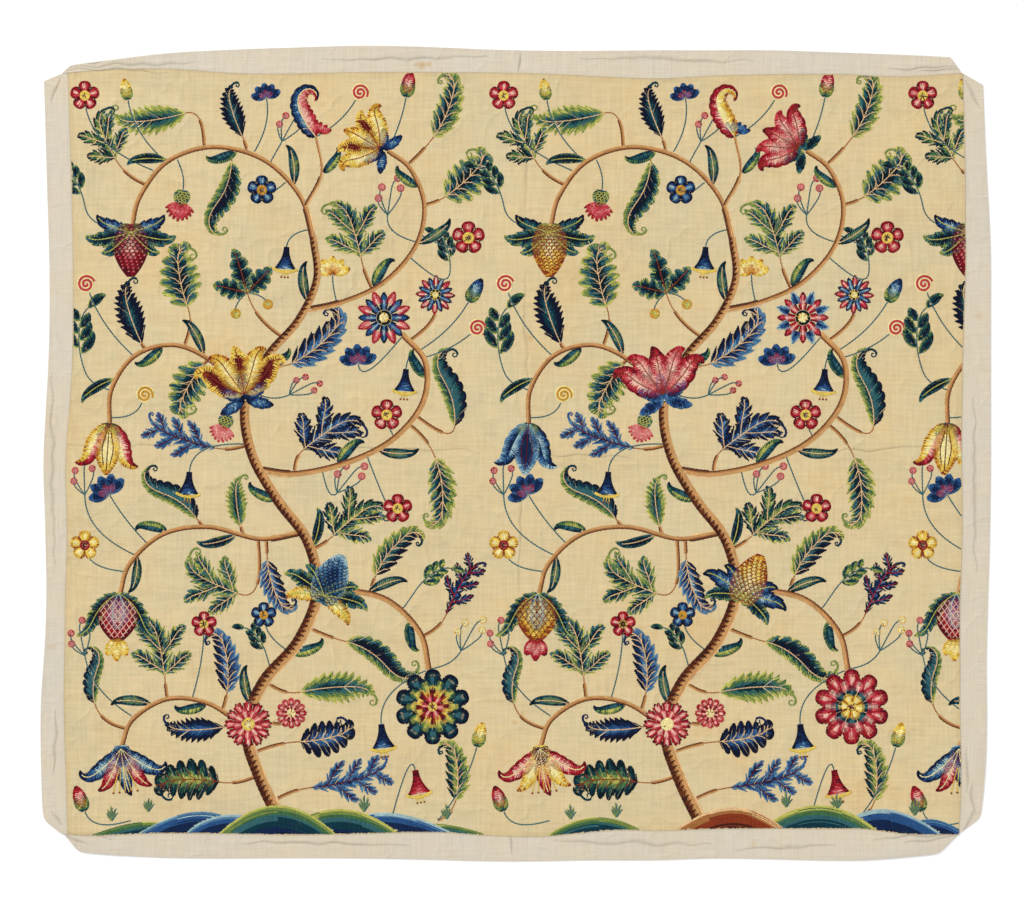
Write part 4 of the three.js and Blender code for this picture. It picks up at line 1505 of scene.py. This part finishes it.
class CrewelSettings(bpy.types.PropertyGroup):
    ground_colour: colour_setting("Ground colour", "Linen of the ground cloth", (217, 197, 153))
    # The aged colour serves the browned patches and also the painted shade along the rims of the ground
    aged_colour: colour_setting("Aged colour", "Where the ground has browned", (190, 160, 104))
    strip_colour: colour_setting("Strip colour", "Linen of the strips", (214, 202, 181))
    thread_colour: colour_setting("Thread colour", "Sewing thread of the seams", (214, 198, 164))
    strip_width: length_setting("Strip width", "Width that the strips were cut to", 0.06, 0.02, 0.3)
    pitch: stitch_setting("Row distance", "Distance between rows of stitches", 2.45, 1.0, 4.0)
    stitch: stitch_setting("Stitch length", "Longest filling stitch", 11.0, 3.0, 20.0)
    wool_width: stitch_setting("Wool width", "Width of a laid strand", 2.7, 0.5, 4.0)
    wool_height: length_setting("Wool height", "Height of a laid strand", 0.0011, 0.0002, 0.003)
    thread_height: length_setting("Thread height", "Height of the seam thread", 0.0006, 0.0002, 0.003)
    seam_stitch: stitch_setting("Seam stitch", "Distance between the stitches of a seam", 3.4, 1.0, 10.0)
    seed: IntProperty(name="Seed", description="Varies the laying of the stitches", default=11, min=0)


# Operators

class CREWEL_OT_ground(bpy.types.Operator):
    """Makes the ground cloth with its folds, creases and weave"""
    bl_idname = "crewel.ground"
    bl_label = "Ground cloth"

    def execute(self, context):
        s = context.scene.crewel
        cloth = fine_sheet("ground_cloth", "ground_linen_sheet")
        cloth.data.materials.clear()
        cloth.data.materials.append(linen_material(
            "Ground linen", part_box("ground_cloth"), s.ground_colour, s.aged_colour,
            rim_width=0.02, rim_browning_and_shade=0.4,
            weave={"Thread": 0.0011, "Slub width": 0.006, "Slub length": 0.08, "Slub shade": 0.2},
            crumple={"Size": 0.12, "Fineness": 6.0, "Softness": 7.5, "Turn": (0.0, 0.0, -0.42),
                     "Stretch": (1.7, 0.8, 1.0)},
            relief=0.0036, tinge=1.0, fold_relief_and_shade=0.55))
        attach(cloth, "root")
        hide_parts("ground_cloth")
        return {"FINISHED"}


class CREWEL_OT_strips(bpy.types.Operator):
    """Makes the four linen strips round the ground"""
    bl_idname = "crewel.strips"
    bl_label = "Linen strips"

    def execute(self, context):
        s = context.scene.crewel
        aged = tuple(c * 0.8 for c in s.strip_colour)
        for side in SIDES:
            strip = fine_sheet(f"strip_{side}", f"linen_strip_{side}")
            low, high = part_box(f"strip_{side}")
            strip.data.materials.clear()
            strip.data.materials.append(linen_material(
                f"Strip linen {side}", (low, high), s.strip_colour, aged, rim_width=0.012, rim_browning_and_shade=0.35,
                weave={"Thread": 0.0014, "Slub shade": 0.2}, crumple={"Size": 0.08}, relief=0.0022,
                tinge=0.5, fold_relief_and_shade=1.0))
            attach(strip, "root")
            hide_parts(f"strip_{side}")
        return {"FINISHED"}


class CREWEL_OT_seams(bpy.types.Operator):
    """Sews the strips to the ground with small slanting stitches"""
    bl_idname = "crewel.seams"
    bl_label = "Seams"

    def execute(self, context):
        s = context.scene.crewel
        cloth = bpy.data.objects["ground_linen_sheet"]
        random = np.random.default_rng(s.seed)
        rows = []
        for side, line in cloth_edges(cloth).items():
            path = Path(line, s.seam_stitch)
            count = len(path.points)
            inward = path.across * (1 if side in ("bottom", "right") else -1)
            slant = path.along * random.uniform(0.4, 0.9, count)[:, None]
            start = path.points + inward * random.uniform(1.8, 2.6, count)[:, None] - slant
            end = path.points - inward * 1.4 + slant
            rest = np.tile([0.8, 0, 0, 0, *s.thread_colour], (count, 1))
            rows.append(np.column_stack([start, end, rest]))
        lay_stitches("seam_thread", np.vstack(rows), cloth, thread_material(s.thread_colour), s.thread_height)
        return {"FINISHED"}


class CREWEL_OT_needlework(bpy.types.Operator):
    """Works the trees, leaves, flowers and hillocks in wool"""
    bl_idname = "crewel.needlework"
    bl_label = "Needlework"

    def execute(self, context):
        s = context.scene.crewel
        cloth = bpy.data.objects["ground_linen_sheet"]
        material = wool_material()
        table = needlework(s.seed, s.pitch, s.stitch, s.wool_width, cloth_edges(cloth))
        for number, name in enumerate(PIECES):
            rows = table[table[:, PIECE] == number]
            hue = np.round(rows[:, COLOUR] * 6) @ np.array([36, 6, 1])
            rows = rows[np.lexsort((hue, rows[:, ORDER]))]
            lay_stitches(name, rows, cloth, material, s.wool_height)
        return {"FINISHED"}


class CREWEL_OT_stage(bpy.types.Operator):
    """Sets the floor, the lights and the camera straight above"""
    bl_idname = "crewel.stage"
    bl_label = "Stage"

    def execute(self, context):
        scene = context.scene
        far, below = 30.0, -0.0004
        floor_mesh = bpy.data.meshes.new("floor")
        corners = [(-far, -far, 0), (far, -far, 0), (far, far, 0), (-far, far, 0)]
        floor_mesh.from_pydata(corners, [], [(0, 1, 2, 3)])
        floor = link_object("floor", floor_mesh)
        floor.location.z = below
        material, _, shader = new_material("Pale floor", 0.95, 0.0, 0.0)
        shader.inputs["Base Color"].default_value = (0.98, 0.98, 0.98, 1.0)
        floor_mesh.materials.append(material)
        scene.world = bpy.data.worlds.new("Studio")
        scene.world.use_nodes = True
        sky = scene.world.node_tree.nodes["Background"]
        sky.inputs["Color"].default_value = (1.0, 1.0, 1.0, 1.0)
        sky.inputs["Strength"].default_value = 0.64
        for name, place, size, power in (
            ("key_light", (-9.0, 8.4, 8.0), 6.0, 1350.0), ("fill_light", (5.0, -3.0, 5.0), 4.0, 107.0),
        ):
            light = bpy.data.lights.new(name, "AREA")
            light.size = size
            light.energy = power
            lamp = link_object(name, light)
            lamp.location = place
            lamp.rotation_euler = (-lamp.location).to_track_quat("-Z", "Y").to_euler()
        camera_data = bpy.data.cameras.new("camera")
        camera_data.sensor_width = 36.0
        camera_data.lens = 36.0 * CAMERA_HEIGHT / (PHOTO_WIDTH * PIXEL)
        scene.camera = link_object("camera", camera_data)
        scene.camera.location = (-0.008, 0.0, CAMERA_HEIGHT)
        scene.view_settings.view_transform = "Standard"
        return {"FINISHED"}


class CREWEL_PT_panel(bpy.types.Panel):
    """Lists the steps that make the panel"""
    bl_idname = "CREWEL_PT_panel"
    bl_label = "Crewel panel"
    bl_space_type = "VIEW_3D"
    bl_region_type = "UI"
    bl_category = "Crewel"

    def draw(self, context):
        for name in CrewelSettings.__annotations__:
            self.layout.prop(context.scene.crewel, name)
        for step in STEPS:
            self.layout.operator(step.bl_idname)


STEPS = (CREWEL_OT_ground, CREWEL_OT_strips, CREWEL_OT_seams, CREWEL_OT_needlework, CREWEL_OT_stage)
CLASSES = (CrewelSettings, *STEPS, CREWEL_PT_panel)


def register():
    for item in CLASSES:
        bpy.utils.register_class(item)
    bpy.types.Scene.crewel = PointerProperty(type=CrewelSettings)


def unregister():
    del bpy.types.Scene.crewel
    for item in reversed(CLASSES):
        bpy.utils.unregister_class(item)


def main():
    register()
    bpy.ops.crewel.ground()
    bpy.ops.crewel.strips()
    bpy.ops.crewel.seams()
    bpy.ops.crewel.needlework()
    bpy.ops.crewel.stage()


if __name__ == "__main__":
    main()
